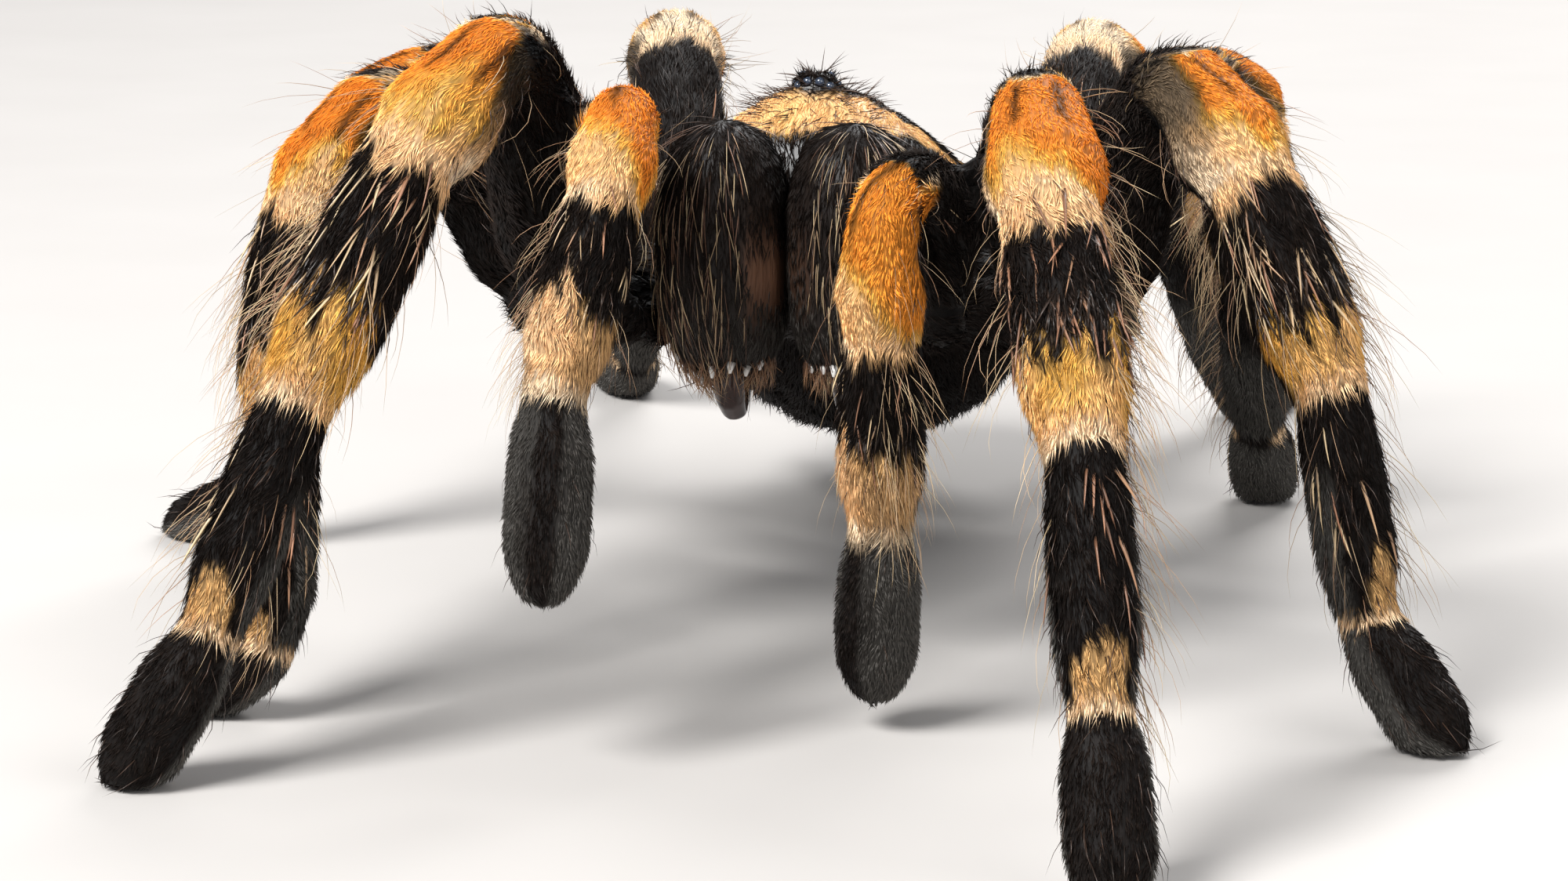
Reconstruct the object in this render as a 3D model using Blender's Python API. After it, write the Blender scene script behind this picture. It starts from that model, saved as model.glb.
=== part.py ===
"""A red-kneed tarantula, grown female, life size, standing tall on its front legs.

The animal faces -Y and its own left is +X. It stands on the floor, z = 0, with the middle of its
footprint over the origin. Sizes are to the tips of the coat. The prosoma (carapace, chelicerae and
coxae) and the abdomen share one body frame, tipped nose up. Each limb is one bent, tapering tube
along its joints, parted at the joints by thin discs.
"""

import math

import bmesh
import bpy
from mathutils import Matrix, Vector

MM = 0.001
GAP = 0.3  # between neighbouring pieces, in mm like every size below

# The body frame: its origin is on the rim plane of the carapace, x is the animal's left, y its rear.
BODY_CENTRE = (0.0, 14.5, 20.2)
BODY_PITCH = 12.0  # degrees, nose up

CARAPACE_MIDDLE = -0.6  # how far its middle lies behind the body's origin
CARAPACE_HALF = (8.1, 10.2, 6.0)  # half width, half length, height
CARAPACE_BLUNT = 0.45  # power that squares off the front end
CARAPACE_NARROWING = 0.18  # of its width, towards the front end
CARAPACE_RISE = 0.12  # of its height, towards the front end
CARAPACE_FALL = 0.3  # of its height, towards the rear end
CARAPACE_SLOPE = 0.3  # of its height, towards the sides
TUBERCLE_AT = (0.0, -7.3, 5.85)
TUBERCLE_HALF = (1.3, 1.1, 0.95)
# The eight eyes, as the side, lengthwise and upright part of their direction from the tubercle.
EYE_DIRECTIONS = ((0.35, -0.75, 0.55), (0.85, -0.5, 0.3), (0.6, 0.15, 0.75), (0.85, 0.4, 0.4))
EYE_RADIUS = 0.27

CHELICERA_AT = (3.1, -13.0, -2.4)
CHELICERA_HALF = (3.35, 3.9, 6.4)  # across, front to back, root to tip
CHELICERA_LEAN = 72.0  # degrees below the rim plane
CHELICERA_BLUNT = 0.72  # power that fills out its two ends
FANG_ROOT = (2.8, -12.3, -7.3)
FANG_BEND = 2.4  # radius of the fang's arc
FANG_TURN = 150.0
FANG_RADII = (0.75, 0.72, 0.66, 0.56, 0.44, 0.34, 0.27)
SOCKET_STRETCH = (1.05, 1.5, 2.4)  # a fang's socket, in radii of the fang's root with room round it

STERNUM_HALF = (7.6, 9.6, 4.2)
STERNUM_AT = (0.0, 0.3, -2.4)
WAIST_FRONT = 9.6  # flat rear of the sternum
WAIST_REAR = 13.0  # flat front of the abdomen
WAIST_RADIUS = 1.4
WAIST_HEIGHT = -2.2

ABDOMEN_AT = (0.0, 26.0, -1.0)
ABDOMEN_HALF = (9.6, 13.6, 7.9)
ABDOMEN_SWELL = 0.16  # extra width towards the rear
ABDOMEN_TURN = 8.0  # degrees that the abdomen bends at the waist towards the animal's right
ABDOMEN_DIP = 8.0  # degrees that it hangs down there
SPINNERET_ROOT = (1.5, 38.6, -3.6)
SPINNERET_STEPS = ((0.1, 1.6, 0.1), (0.35, 1.5, 0.6), (0.5, 1.2, 1.0))
SPINNERET_RADII = (0.8, 0.7, 0.6, 0.4)

# Hinges between coxa and femur, on the left side, in the body frame.
HINGES = {
    "leg_1": (11.6, -10.6, -4.8),
    "leg_2": (13.6, -3.9, -4.8),
    "leg_3": (12.8, 3.7, -3.0),
    "leg_4": (10.1, 12.4, -3.0),
    "palp": (7.9, -16.9, -5.6),
}
HINGE_BALL = {"leg": 2.3, "palp": 1.6}
HINGE_ROOM = 0.6  # kept clear round the ball
# Where the coxae start, as shares of the hinge's place across and along the body.
COXA_ROOT = {"leg": (0.3, 0.3), "palp": (0.52, 0.3)}
COXA_TAPER = 0.85  # a coxa's radius at its root, in radii of its ball
COXA_CAP_ANGLES = (40, 75)  # degrees round the ball at which its cap has rings

SEGMENTS = {
    "leg": ("femur", "patella", "tibia", "metatarsus", "tarsus"),
    "palp": ("femur", "patella", "tibia", "tarsus"),
}
LENGTHS = {
    "leg_1": (15.9, 8.6, 11.8, 10.6, 8.2),
    "leg_2": (14.7, 8.0, 10.0, 10.4, 7.4),
    "leg_3": (12.8, 7.4, 9.0, 11.5, 7.5),
    "leg_4": (16.0, 8.2, 13.0, 15.5, 8.4),
    "palp": (11.0, 7.3, 9.1, 9.1),
}
# Radii at the joints, hinge to toe, and at the middle of each segment.
JOINT_RADII = {"leg": (1.9, 2.35, 2.45, 1.95, 1.6, 0.9), "palp": (1.45, 1.85, 2.0, 1.6, 0.85)}
SHAFT_RADII = {"leg": (2.75, 2.95, 2.65, 2.1, 2.1), "palp": (1.95, 2.3, 2.2, 2.1)}
NEAR_TAPER = 0.34  # shares of a segment over which its radius changes to that of the joint
FAR_TAPER = 0.3
FEMUR_BOW = 9.0  # degrees that a femur's halves bend away from its chord
PALP_FEMUR_BOW = {"left": 30.0, "right": 12.0}
BEND_RADIUS = 1.25  # of a bent joint's centreline, in joint radii
BEND_SHARE = 0.56  # the most of a run that a bend may use up
MILD_BEND = 0.5  # a bend that uses up less than this stays a plain corner
ARC_STEP = 28.0  # degrees between the points of a bend
SHAFT_SHARES = (0.26, 0.72)  # where a straight run has points
HALF_SHAFT_SHARES = (0.4, 0.66)  # the same for half a femur
POINT_ROOM = 0.08  # the least share between a bend and the next point
TOE_SHARES = (0.9, 0.97, 1.0)
TOE_DEPTH = 0.3  # how far a toe runs on below the floor before it is cut flat

# Each limb's pose: the segments' headings in degrees from straight ahead towards the limb's own
# side, the last of which holds for those that follow, then each segment's elevation. None reaches
# down to the floor.
POSES = {
    ("leg_1", "left"): ((4, 12, 17), (46, -26, -46, -66, None)),
    ("leg_1", "right"): ((-1, 26, 41, 41, 80), (58, -34, -59, -64, None)),
    ("leg_2", "left"): ((34, 40, 62), (64, -38, -64, -78, None)),
    ("leg_2", "right"): ((38, 27, 0, 0, 110), (51, -44, -65, -75, None)),
    ("leg_3", "left"): ((150, 163, 178), (50, -28, -68, -57, None)),
    ("leg_3", "right"): ((105, 108, 112), (52, -34, -68, -76, None)),
    ("leg_4", "left"): ((183, 174, 163), (41, -16, -43, -50, None)),
    ("leg_4", "right"): ((168, 168, 161), (41, -14, -41, -50, None)),
    ("palp", "left"): ((-14, 2, 12), (46, -98, -96, -111)),
    ("palp", "right"): ((-52, 0, 21, 0), (78, -36, -63, -74)),
}

SIDES = {"left": 1, "right": -1}
BEVEL_RESOLUTION = 3  # ten-sided limbs
COXA_RESOLUTION = 2
DISC_OVERSIZE = 1.5  # a parting disc's radius, in radii of its joint
CRUMB = 8  # the most corners of a leftover that is not a segment
SHARP_ANGLE = 50.0

BLACK = (0.030, 0.026, 0.024)
ORANGE = (0.80, 0.30, 0.06)
CREAM = (0.78, 0.56, 0.32)
HORN = (0.02, 0.012, 0.01)
FINISHES = {  # base colour and roughness
    "black_coat": (BLACK, 0.8),
    "orange_coat": (ORANGE, 0.75),
    "cream_coat": (CREAM, 0.75),
    "horn": (HORN, 0.25),
}


def clear_scene():
    for old in list(bpy.data.objects):
        bpy.data.objects.remove(old, do_unlink=True)


def material(finish):
    found = bpy.data.materials.get(finish)
    if found:
        return found
    colour, roughness = FINISHES[finish]
    made = bpy.data.materials.new(finish)
    made.use_nodes = True
    shader = made.node_tree.nodes["Principled BSDF"]
    shader.inputs["Base Color"].default_value = (*colour, 1.0)
    shader.inputs["Roughness"].default_value = roughness
    shader.inputs["Metallic"].default_value = 0.0
    return made


def add_object(name, mesh, collection):
    made = bpy.data.objects.new(name, mesh)
    collection.objects.link(made)
    return made


def add_part(name, bm, finish):
    """A finished sub-part from a bmesh in mm, under the animal's empty."""
    bmesh.ops.recalc_face_normals(bm, faces=bm.faces)
    bmesh.ops.scale(bm, vec=(MM, MM, MM), verts=bm.verts)
    mesh = bpy.data.meshes.new(name)
    bm.to_mesh(mesh)
    bm.free()
    mesh.shade_smooth()
    mesh.set_sharp_from_angle(angle=math.radians(SHARP_ANGLE))
    mesh.materials.append(material(finish))
    made = add_object(name, mesh, parts)
    made.parent = animal
    return made


def body_matrix():
    return Matrix.Translation(BODY_CENTRE) @ Matrix.Rotation(math.radians(-BODY_PITCH), 4, "X")


def ellipsoid(centre, half, around=16, rings=10, turn=None):
    """A closed ball of three half sizes, its poles on local z before the turn."""
    bm = bmesh.new()
    bmesh.ops.create_uvsphere(bm, u_segments=around, v_segments=rings, radius=1.0)
    place = Matrix.Translation(centre) @ (turn or Matrix.Identity(4)) @ Matrix.Diagonal((*half, 1.0))
    bmesh.ops.transform(bm, matrix=place, verts=bm.verts)
    return bm


def trim(bm, point, outward):
    """Cut away what lies beyond a plane, and close the cut with a flat face."""
    geometry = list(bm.verts) + list(bm.edges) + list(bm.faces)
    cut = bmesh.ops.bisect_plane(
        bm, geom=geometry, dist=1e-5, plane_co=point, plane_no=outward, clear_outer=True
    )
    edges = [e for e in cut["geom_cut"] if isinstance(e, bmesh.types.BMEdge)]
    bmesh.ops.holes_fill(bm, edges=edges, sides=0)


def tube(points, radii, resolution=BEVEL_RESOLUTION):
    """A closed tube in mm through the points, with a radius at each."""
    curve = bpy.data.curves.new("tube", "CURVE")
    curve.dimensions = "3D"
    curve.bevel_depth = 1.0
    curve.bevel_resolution = resolution
    curve.use_fill_caps = True
    spline = curve.splines.new("POLY")
    spline.points.add(len(points) - 1)
    for target, point, radius in zip(spline.points, points, radii):
        target.co = (*point, 1.0)
        target.radius = radius
    holder = add_object("tube", curve, bpy.context.scene.collection)
    depsgraph = bpy.context.evaluated_depsgraph_get()
    mesh = bpy.data.meshes.new_from_object(holder.evaluated_get(depsgraph))
    bm = bmesh.new()
    bm.from_mesh(mesh)
    bmesh.ops.transform(bm, matrix=holder.matrix_world, verts=bm.verts)
    bmesh.ops.remove_doubles(bm, verts=bm.verts, dist=1e-4)
    bmesh.ops.recalc_face_normals(bm, faces=bm.faces)
    bpy.data.objects.remove(holder, do_unlink=True)
    bpy.data.meshes.remove(mesh)
    return bm


def to_mesh(name, bm):
    mesh = bpy.data.meshes.new(name)
    bm.to_mesh(mesh)
    bm.free()
    return mesh


def combined(bm, operation, tools):
    """The bmesh after one exact Boolean with each of the tools, which stay as hidden cutters."""
    base = add_object("base", to_mesh("base", bm), bpy.context.scene.collection)
    for name, tool in tools:
        cutter = bpy.data.objects.get(name) or add_object(name, to_mesh(name, tool), cutters)
        cutter.hide_render = True
        cutter.display_type = "WIRE"
        step = base.modifiers.new(name, "BOOLEAN")
        step.operation = operation
        step.solver = "EXACT"
        step.object = cutter
    depsgraph = bpy.context.evaluated_depsgraph_get()
    mesh = bpy.data.meshes.new_from_object(base.evaluated_get(depsgraph))
    result = bmesh.new()
    result.from_mesh(mesh)
    bpy.data.objects.remove(base, do_unlink=True)
    bpy.data.meshes.remove(mesh)
    return result


# Body ---------------------------------------------------------------------------------------------


def blunted(value, power):
    """A coordinate of the unit ball pushed out towards its pole, for a squarer end."""
    return math.copysign(abs(value) ** power, value)


def carapace_shape():
    """A dome over the rim plane, blunt, narrow and high in front, wider and lower behind."""
    bm = ellipsoid((0, 0, 0), (1, 1, 1), around=18, rings=14)
    width, length, height = CARAPACE_HALF
    for vert in bm.verts:
        x, y, z = vert.co
        z *= 1 - CARAPACE_SLOPE * x * x
        if y < 0:
            y = blunted(y, CARAPACE_BLUNT)
            x *= 1 + CARAPACE_NARROWING * y
            z *= 1 - CARAPACE_RISE * y
        else:
            z *= 1 - CARAPACE_FALL * y
        vert.co = (x * width, CARAPACE_MIDDLE + y * length, z * height)
    trim(bm, (0, 0, 0), (0, 0, -1))
    return bm


def tubercle_shape(grown=0.0):
    half = [h + grown for h in TUBERCLE_HALF]
    return ellipsoid(TUBERCLE_AT, half, around=10, rings=6)


def eye(side, direction):
    outward = Vector((side * direction[0], direction[1], direction[2])).normalized()
    place = Vector(TUBERCLE_AT) + Vector(o * h for o, h in zip(outward, TUBERCLE_HALF))
    return ellipsoid(place, (EYE_RADIUS,) * 3, around=6, rings=4)


def chelicera_shape(side, grown=0.0):
    """An upright egg that leans forward. The pair is flat where the two face each other."""
    x, y, z = CHELICERA_AT
    lean = Matrix.Rotation(math.radians(90 - CHELICERA_LEAN), 4, "X")
    half = [h + grown for h in CHELICERA_HALF]
    bm = ellipsoid((0, 0, 0), (1, 1, 1), around=12, rings=10)
    for vert in bm.verts:
        vert.co.z = blunted(vert.co.z, CHELICERA_BLUNT)
    place = Matrix.Translation((side * x, y, z)) @ lean @ Matrix.Diagonal((*half, 1.0))
    bmesh.ops.transform(bm, matrix=place, verts=bm.verts)
    if not grown:
        trim(bm, (side * GAP / 2, 0, 0), (-side, 0, 0))
    return bm


def fang_shape(side):
    """A tapering claw, folded back under its chelicera."""
    x, y, z = FANG_ROOT
    points = []
    for step in range(len(FANG_RADII)):
        angle = math.radians(FANG_TURN) * step / (len(FANG_RADII) - 1)
        back = FANG_BEND * (1 - math.cos(angle))
        down = FANG_BEND * math.sin(angle)
        points.append((side * x, y + back, z - down))
    return tube(points, FANG_RADII)


def socket_shape(side):
    """Room at a chelicera's end for the fang's root."""
    root = Vector((side * FANG_ROOT[0], *FANG_ROOT[1:]))
    size = FANG_RADII[0] + GAP
    half = [size * stretch for stretch in SOCKET_STRETCH]
    return ellipsoid(root, half, around=12, rings=8)


def waist_points():
    """Front, middle and rear of the waist. It bends at its middle."""
    front = Vector((0, WAIST_FRONT + GAP, WAIST_HEIGHT))
    middle = Vector((0, (WAIST_FRONT + WAIST_REAR) / 2, WAIST_HEIGHT))
    rear = Vector((0, WAIST_REAR - GAP, WAIST_HEIGHT))
    return [front, middle, hind_turn() @ rear]


def hind_turn():
    """How everything behind the middle of the waist is turned."""
    pivot = Matrix.Translation((0, (WAIST_FRONT + WAIST_REAR) / 2, WAIST_HEIGHT))
    sideways = Matrix.Rotation(math.radians(ABDOMEN_TURN), 4, "Z")
    downwards = Matrix.Rotation(math.radians(-ABDOMEN_DIP), 4, "X")
    return pivot @ sideways @ downwards @ pivot.inverted()


def abdomen_shape():
    """An egg, fuller behind, with a flat front for the waist."""
    lying = Matrix.Rotation(math.pi / 2, 4, "X")
    bm = ellipsoid((0, 0, 0), (1, 1, 1), around=16, rings=12, turn=lying)
    for vert in bm.verts:
        x, y, z = vert.co
        fuller = 1 + ABDOMEN_SWELL * y
        size = (x * fuller * ABDOMEN_HALF[0], y * ABDOMEN_HALF[1], z * fuller * ABDOMEN_HALF[2])
        vert.co = Vector(size) + Vector(ABDOMEN_AT)
    trim(bm, (0, WAIST_REAR, 0), (0, -1, 0))
    bmesh.ops.transform(bm, matrix=hind_turn(), verts=bm.verts)
    return bm


def spinneret_shape(side):
    points = [Vector((side * SPINNERET_ROOT[0], *SPINNERET_ROOT[1:]))]
    for step in SPINNERET_STEPS:
        points.append(points[-1] + Vector((side * step[0], *step[1:])))
    return tube([hind_turn() @ point for point in points], SPINNERET_RADII)


def coxa_shape(limb, side):
    """A rod from under the sternum to the hinge, with a round end for the femur to turn on."""
    kind = limb.split("_")[0]
    hinge = Vector((side * HINGES[limb][0], *HINGES[limb][1:]))
    across, lengthwise = COXA_ROOT[kind]
    root = Vector((hinge.x * across, hinge.y * lengthwise, hinge.z))
    radius = HINGE_BALL[kind]
    along = (hinge - root).normalized()
    points = [root, hinge]
    radii = [radius * COXA_TAPER, radius]
    for angle in COXA_CAP_ANGLES:
        points.append(hinge + along * radius * math.sin(math.radians(angle)))
        radii.append(radius * math.cos(math.radians(angle)))
    return tube(points, radii, resolution=COXA_RESOLUTION)


def sternum_shape():
    """The underside: sternum, coxae and trochanters, flat on top under the carapace."""
    bm = ellipsoid(STERNUM_AT, STERNUM_HALF, around=14, rings=8)
    trim(bm, (0, WAIST_FRONT, 0), (0, 1, 0))
    coxae = []
    for limb in HINGES:
        for word, side in SIDES.items():
            coxae.append((f"coxa_{limb}_{word}", coxa_shape(limb, side)))
    bm = combined(bm, "UNION", coxae)
    trim(bm, (0, 0, -GAP), (0, 0, 1))
    return bm


def build_body():
    place = body_matrix()

    def finish(name, bm, look):
        bmesh.ops.transform(bm, matrix=place, verts=bm.verts)
        add_part(name, bm, look)

    room = [("room_for_tubercle", tubercle_shape(GAP))]
    jaw_room = []
    for word, side in SIDES.items():
        jaw_room.append((f"room_for_chelicera_{word}", chelicera_shape(side, GAP)))
    finish("carapace", combined(carapace_shape(), "DIFFERENCE", room + jaw_room), "cream_coat")

    eyes = []
    for word, side in SIDES.items():
        for number, direction in enumerate(EYE_DIRECTIONS, 1):
            eyes.append((f"eye_{number}_{word}", eye(side, direction)))
    finish("eye_tubercle", combined(tubercle_shape(), "UNION", eyes), "horn")

    finish("sternum_and_coxae", combined(sternum_shape(), "DIFFERENCE", jaw_room), "black_coat")
    finish("pedicel", tube(waist_points(), [WAIST_RADIUS] * 3), "black_coat")

    spinneret_room = []
    for word, side in SIDES.items():
        socket = [(f"socket_{word}", socket_shape(side))]
        jaw = combined(chelicera_shape(side), "DIFFERENCE", socket)
        finish(f"chelicera_{word}", jaw, "black_coat")
        finish(f"fang_{word}", fang_shape(side), "horn")
        root = hind_turn() @ Vector((side * SPINNERET_ROOT[0], *SPINNERET_ROOT[1:]))
        ball = ellipsoid(root, (SPINNERET_RADII[0] + GAP,) * 3, around=8, rings=4)
        spinneret_room.append((f"room_for_spinneret_{word}", ball))
        finish(f"spinneret_{word}", spinneret_shape(side), "black_coat")
    finish("abdomen", combined(abdomen_shape(), "DIFFERENCE", spinneret_room), "black_coat")


# Limbs --------------------------------------------------------------------------------------------


def heading_vector(side, heading, elevation):
    turn, rise = math.radians(heading), math.radians(elevation)
    flat = math.cos(rise)
    return Vector((side * math.sin(turn) * flat, -math.cos(turn) * flat, math.sin(rise)))


def limb_joints(limb, word):
    """The limb's centre points from hinge to toe. The second is the bow in the femur."""
    kind = limb.split("_")[0]
    side = SIDES[word]
    headings, elevations = POSES[limb, word]
    lengths = LENGTHS[limb]
    bow = PALP_FEMUR_BOW[word] if kind == "palp" else FEMUR_BOW
    points = [body_matrix() @ Vector((side * HINGES[limb][0], *HINGES[limb][1:]))]
    for half in (bow, -bow):
        step = heading_vector(side, headings[0], elevations[0] + half) * lengths[0] / 2
        points.append(points[-1] + step / math.cos(math.radians(bow)))
    for number in range(1, len(lengths)):
        heading = headings[min(number, len(headings) - 1)]
        elevation = elevations[number]
        if elevation is None:
            reach = min(1.0, (points[-1].z + TOE_DEPTH) / lengths[number])
            elevation = -math.degrees(math.asin(reach))
            if elevations[number - 1] < -90:
                elevation = -180 - elevation
        points.append(points[-1] + heading_vector(side, heading, elevation) * lengths[number])
    return points


def limb_radius(kind, segment, share):
    """The radius at a share of a segment's length: full along the shaft, drawn in at both joints."""
    shaft = SHAFT_RADII[kind][segment]
    near, far = JOINT_RADII[kind][segment], JOINT_RADII[kind][segment + 1]
    start = max(0.0, 1 - share / NEAR_TAPER) ** 2
    end = max(0.0, 1 - (1 - share) / FAR_TAPER) ** 2
    return shaft + (near - shaft) * start + (far - shaft) * end


def limb_runs(joints):
    """Straight runs between centre points: ends, segment and the shares of the segment spanned."""
    runs = [(joints[0], joints[1], 0, 0.0, 0.5), (joints[1], joints[2], 0, 0.5, 1.0)]
    for number in range(2, len(joints) - 1):
        runs.append((joints[number], joints[number + 1], number - 1, 0.0, 1.0))
    return runs


def arc_points(corner, along, following, set_back):
    """Points of the arc that rounds off a corner, from tangent to tangent, without the first."""
    turn = along.angle(following)
    bend = set_back / math.tan(turn / 2)
    inward = (following - along * along.dot(following)).normalized()
    centre = corner - along * set_back + inward * bend
    steps = 2 * max(1, round(math.degrees(turn) / ARC_STEP / 2))
    points = []
    for step in range(1, steps + 1):
        angle = turn * step / steps
        points.append(centre + (along * math.sin(angle) - inward * math.cos(angle)) * bend)
    return points


def limb_centreline(kind, joints):
    """Points and radii along the limb, each bend rounded by an arc, and the cuts at the joints."""
    runs = limb_runs(joints)
    points, radii, cuts = [joints[0]], [JOINT_RADII[kind][0]], []
    used = 0.0
    for (start, end, segment, low, high), following_run in zip(runs, runs[1:] + [None]):
        length = (end - start).length
        along = (end - start).normalized()
        set_back = 0.0
        if following_run:
            following_length = (following_run[1] - end).length
            following = (following_run[1] - end).normalized()
            turn = along.angle(following)
            joint_radius = limb_radius(kind, segment, high)
            longest = BEND_SHARE * min(length, following_length)
            set_back = min(joint_radius * BEND_RADIUS * math.tan(turn / 2), longest)
        first, last = used / length + POINT_ROOM, 1 - set_back / length - POINT_ROOM
        shares = SHAFT_SHARES if high - low == 1.0 else HALF_SHAFT_SHARES
        shares = [share for share in shares if first < share < last]
        for share in shares if following_run else (*shares, *TOE_SHARES):
            points.append(start + along * length * share)
            radii.append(limb_radius(kind, segment, low + (high - low) * share))
        if not following_run:
            break
        if set_back < MILD_BEND:
            points.append(end)
            radii.append(joint_radius)
            middle = end
        else:
            points.append(end - along * set_back)
            arc = arc_points(end, along, following, set_back)
            points.extend(arc)
            radii.extend([joint_radius] * (len(arc) + 1))
            middle = arc[len(arc) // 2 - 1]
        if high == 1.0:
            cuts.append((middle, (along + following).normalized(), joint_radius))
        used = set_back
    return points, radii, cuts


def joint_disc(centre, normal, radius):
    bm = bmesh.new()
    wide = radius * DISC_OVERSIZE
    bmesh.ops.create_cone(bm, cap_ends=True, segments=12, radius1=wide, radius2=wide, depth=GAP)
    place = Matrix.Translation(centre) @ normal.to_track_quat("Z", "Y").to_matrix().to_4x4()
    bmesh.ops.transform(bm, matrix=place, verts=bm.verts)
    return bm


def islands(bm):
    """The separate bodies of a mesh, as sets of vertices."""
    left = set(bm.verts)
    while left:
        body, edge_of_body = set(), [left.pop()]
        while edge_of_body:
            vert = edge_of_body.pop()
            body.add(vert)
            for edge in vert.link_edges:
                other = edge.other_vert(vert)
                if other in left:
                    left.remove(other)
                    edge_of_body.append(other)
        yield body


def build_limb(limb, word):
    kind = limb.split("_")[0]
    joints = limb_joints(limb, word)
    points, radii, cuts = limb_centreline(kind, joints)
    bm = tube(points, radii)
    if points[-1].z < 0:
        trim(bm, (0, 0, 0), (0, 0, -1))
    room = ellipsoid(joints[0], (HINGE_BALL[kind] + HINGE_ROOM,) * 3, around=8, rings=6)
    tools = [(f"{limb}_{word}_hinge", room)]
    for number, (centre, normal, radius) in enumerate(cuts, 1):
        tools.append((f"{limb}_{word}_cut_{number}", joint_disc(centre, normal, radius)))
    bm = combined(bm, "DIFFERENCE", tools)
    middles = [(a + b) / 2 for a, b in zip(joints[2:], joints[3:])]
    middles.insert(0, joints[1])
    pieces = [body for body in islands(bm) if len(body) > CRUMB]
    for body in pieces:
        centre = sum((v.co for v in body), Vector()) / len(body)
        number = min(range(len(middles)), key=lambda n: (middles[n] - centre).length)
        piece = bm.copy()
        piece.verts.ensure_lookup_table()
        keep = {v.index for v in body}
        bmesh.ops.delete(piece, geom=[v for v in piece.verts if v.index not in keep], context="VERTS")
        look = "orange_coat" if SEGMENTS[kind][number] == "patella" else "black_coat"
        add_part(f"{limb}_{word}_{SEGMENTS[kind][number]}", piece, look)
    bm.free()


def centre_over_origin():
    """Shift the whole animal so that its footprint box is centred on the origin."""
    bpy.context.view_layer.update()
    corners = []
    for part in parts.objects:
        if part.type == "MESH":
            corners += [part.matrix_world @ vert.co for vert in part.data.vertices]
    for axis in (0, 1):
        values = [corner[axis] for corner in corners]
        animal.location[axis] -= (min(values) + max(values)) / 2


clear_scene()
parts = bpy.data.collections.new("tarantula")
cutters = bpy.data.collections.new("cutters")
for group in (parts, cutters):
    bpy.context.scene.collection.children.link(group)
cutters.hide_render = True
animal = add_object("animal", None, parts)
build_body()
for limb_name, side_word in POSES:
    build_limb(limb_name, side_word)
centre_over_origin()
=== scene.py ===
import math
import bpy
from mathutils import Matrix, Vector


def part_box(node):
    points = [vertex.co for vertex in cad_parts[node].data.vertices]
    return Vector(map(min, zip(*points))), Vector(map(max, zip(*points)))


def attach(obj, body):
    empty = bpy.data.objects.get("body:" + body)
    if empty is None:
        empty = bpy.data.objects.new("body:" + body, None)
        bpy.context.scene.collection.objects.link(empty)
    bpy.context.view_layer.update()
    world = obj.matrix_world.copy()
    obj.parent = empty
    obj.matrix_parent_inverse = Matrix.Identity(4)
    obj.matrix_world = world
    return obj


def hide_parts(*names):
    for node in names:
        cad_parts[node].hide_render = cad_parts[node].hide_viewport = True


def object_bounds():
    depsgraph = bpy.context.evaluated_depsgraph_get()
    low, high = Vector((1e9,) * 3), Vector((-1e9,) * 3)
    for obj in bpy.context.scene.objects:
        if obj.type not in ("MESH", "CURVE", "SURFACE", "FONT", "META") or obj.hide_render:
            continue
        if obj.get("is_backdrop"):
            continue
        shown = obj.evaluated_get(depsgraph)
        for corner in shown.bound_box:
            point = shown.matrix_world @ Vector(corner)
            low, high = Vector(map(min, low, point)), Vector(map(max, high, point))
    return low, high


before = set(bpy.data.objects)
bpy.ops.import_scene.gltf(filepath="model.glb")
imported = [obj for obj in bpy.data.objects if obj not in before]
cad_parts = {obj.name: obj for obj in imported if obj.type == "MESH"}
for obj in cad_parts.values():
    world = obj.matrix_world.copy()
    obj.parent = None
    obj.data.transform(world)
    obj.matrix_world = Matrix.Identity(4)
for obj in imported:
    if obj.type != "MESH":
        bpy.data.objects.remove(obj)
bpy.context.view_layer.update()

from types import SimpleNamespace

import bmesh
import bpy
import numpy as np
from mathutils import Matrix, Vector
from mathutils.bvhtree import BVHTree

# ---- The middle lines of the limbs ----
# A leg is a row of hollow horny joints, hinged end to end: femur, patella, tibia, metatarsus and
# tarsus. A palp has all but the metatarsus. Bands, pads and the lie of the hair all follow the
# middle line of the limb, which is measured here from the solids.
MM = 0.001
LEG_JOINTS = ("femur", "patella", "tibia", "metatarsus", "tarsus")
PALP_JOINTS = ("femur", "patella", "tibia", "tarsus")
LIMB_JOINTS = {
    **{f"leg_{n}_{side}": LEG_JOINTS for n in (1, 2, 3, 4) for side in ("left", "right")},
    **{f"palp_{side}": PALP_JOINTS for side in ("left", "right")},
}
LINE_STEPS = 6
MEETING_REACH = 0.7 * MM
END_REACH = 0.9 * MM


def unit(vectors):
    return vectors / np.maximum(np.linalg.norm(vectors, axis=-1, keepdims=True), 1e-12)


def dot(a, b):
    return (a * b).sum(-1)


def corners(node):
    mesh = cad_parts[node].data
    points = np.empty(len(mesh.vertices) * 3)
    mesh.vertices.foreach_get("co", points)
    return np.unique(points.reshape(-1, 3).round(7), axis=0)


def hinge_between(upper, lower):
    gaps = np.linalg.norm(upper[:, None] - lower[None], axis=2)
    near_upper = upper[gaps.min(1) < MEETING_REACH].mean(0)
    near_lower = lower[gaps.min(0) < MEETING_REACH].mean(0)
    return (near_upper + near_lower) / 2


def far_end(points, start):
    reach = np.linalg.norm(points - start, axis=1)
    return points[reach > reach.max() - END_REACH].mean(0)


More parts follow.
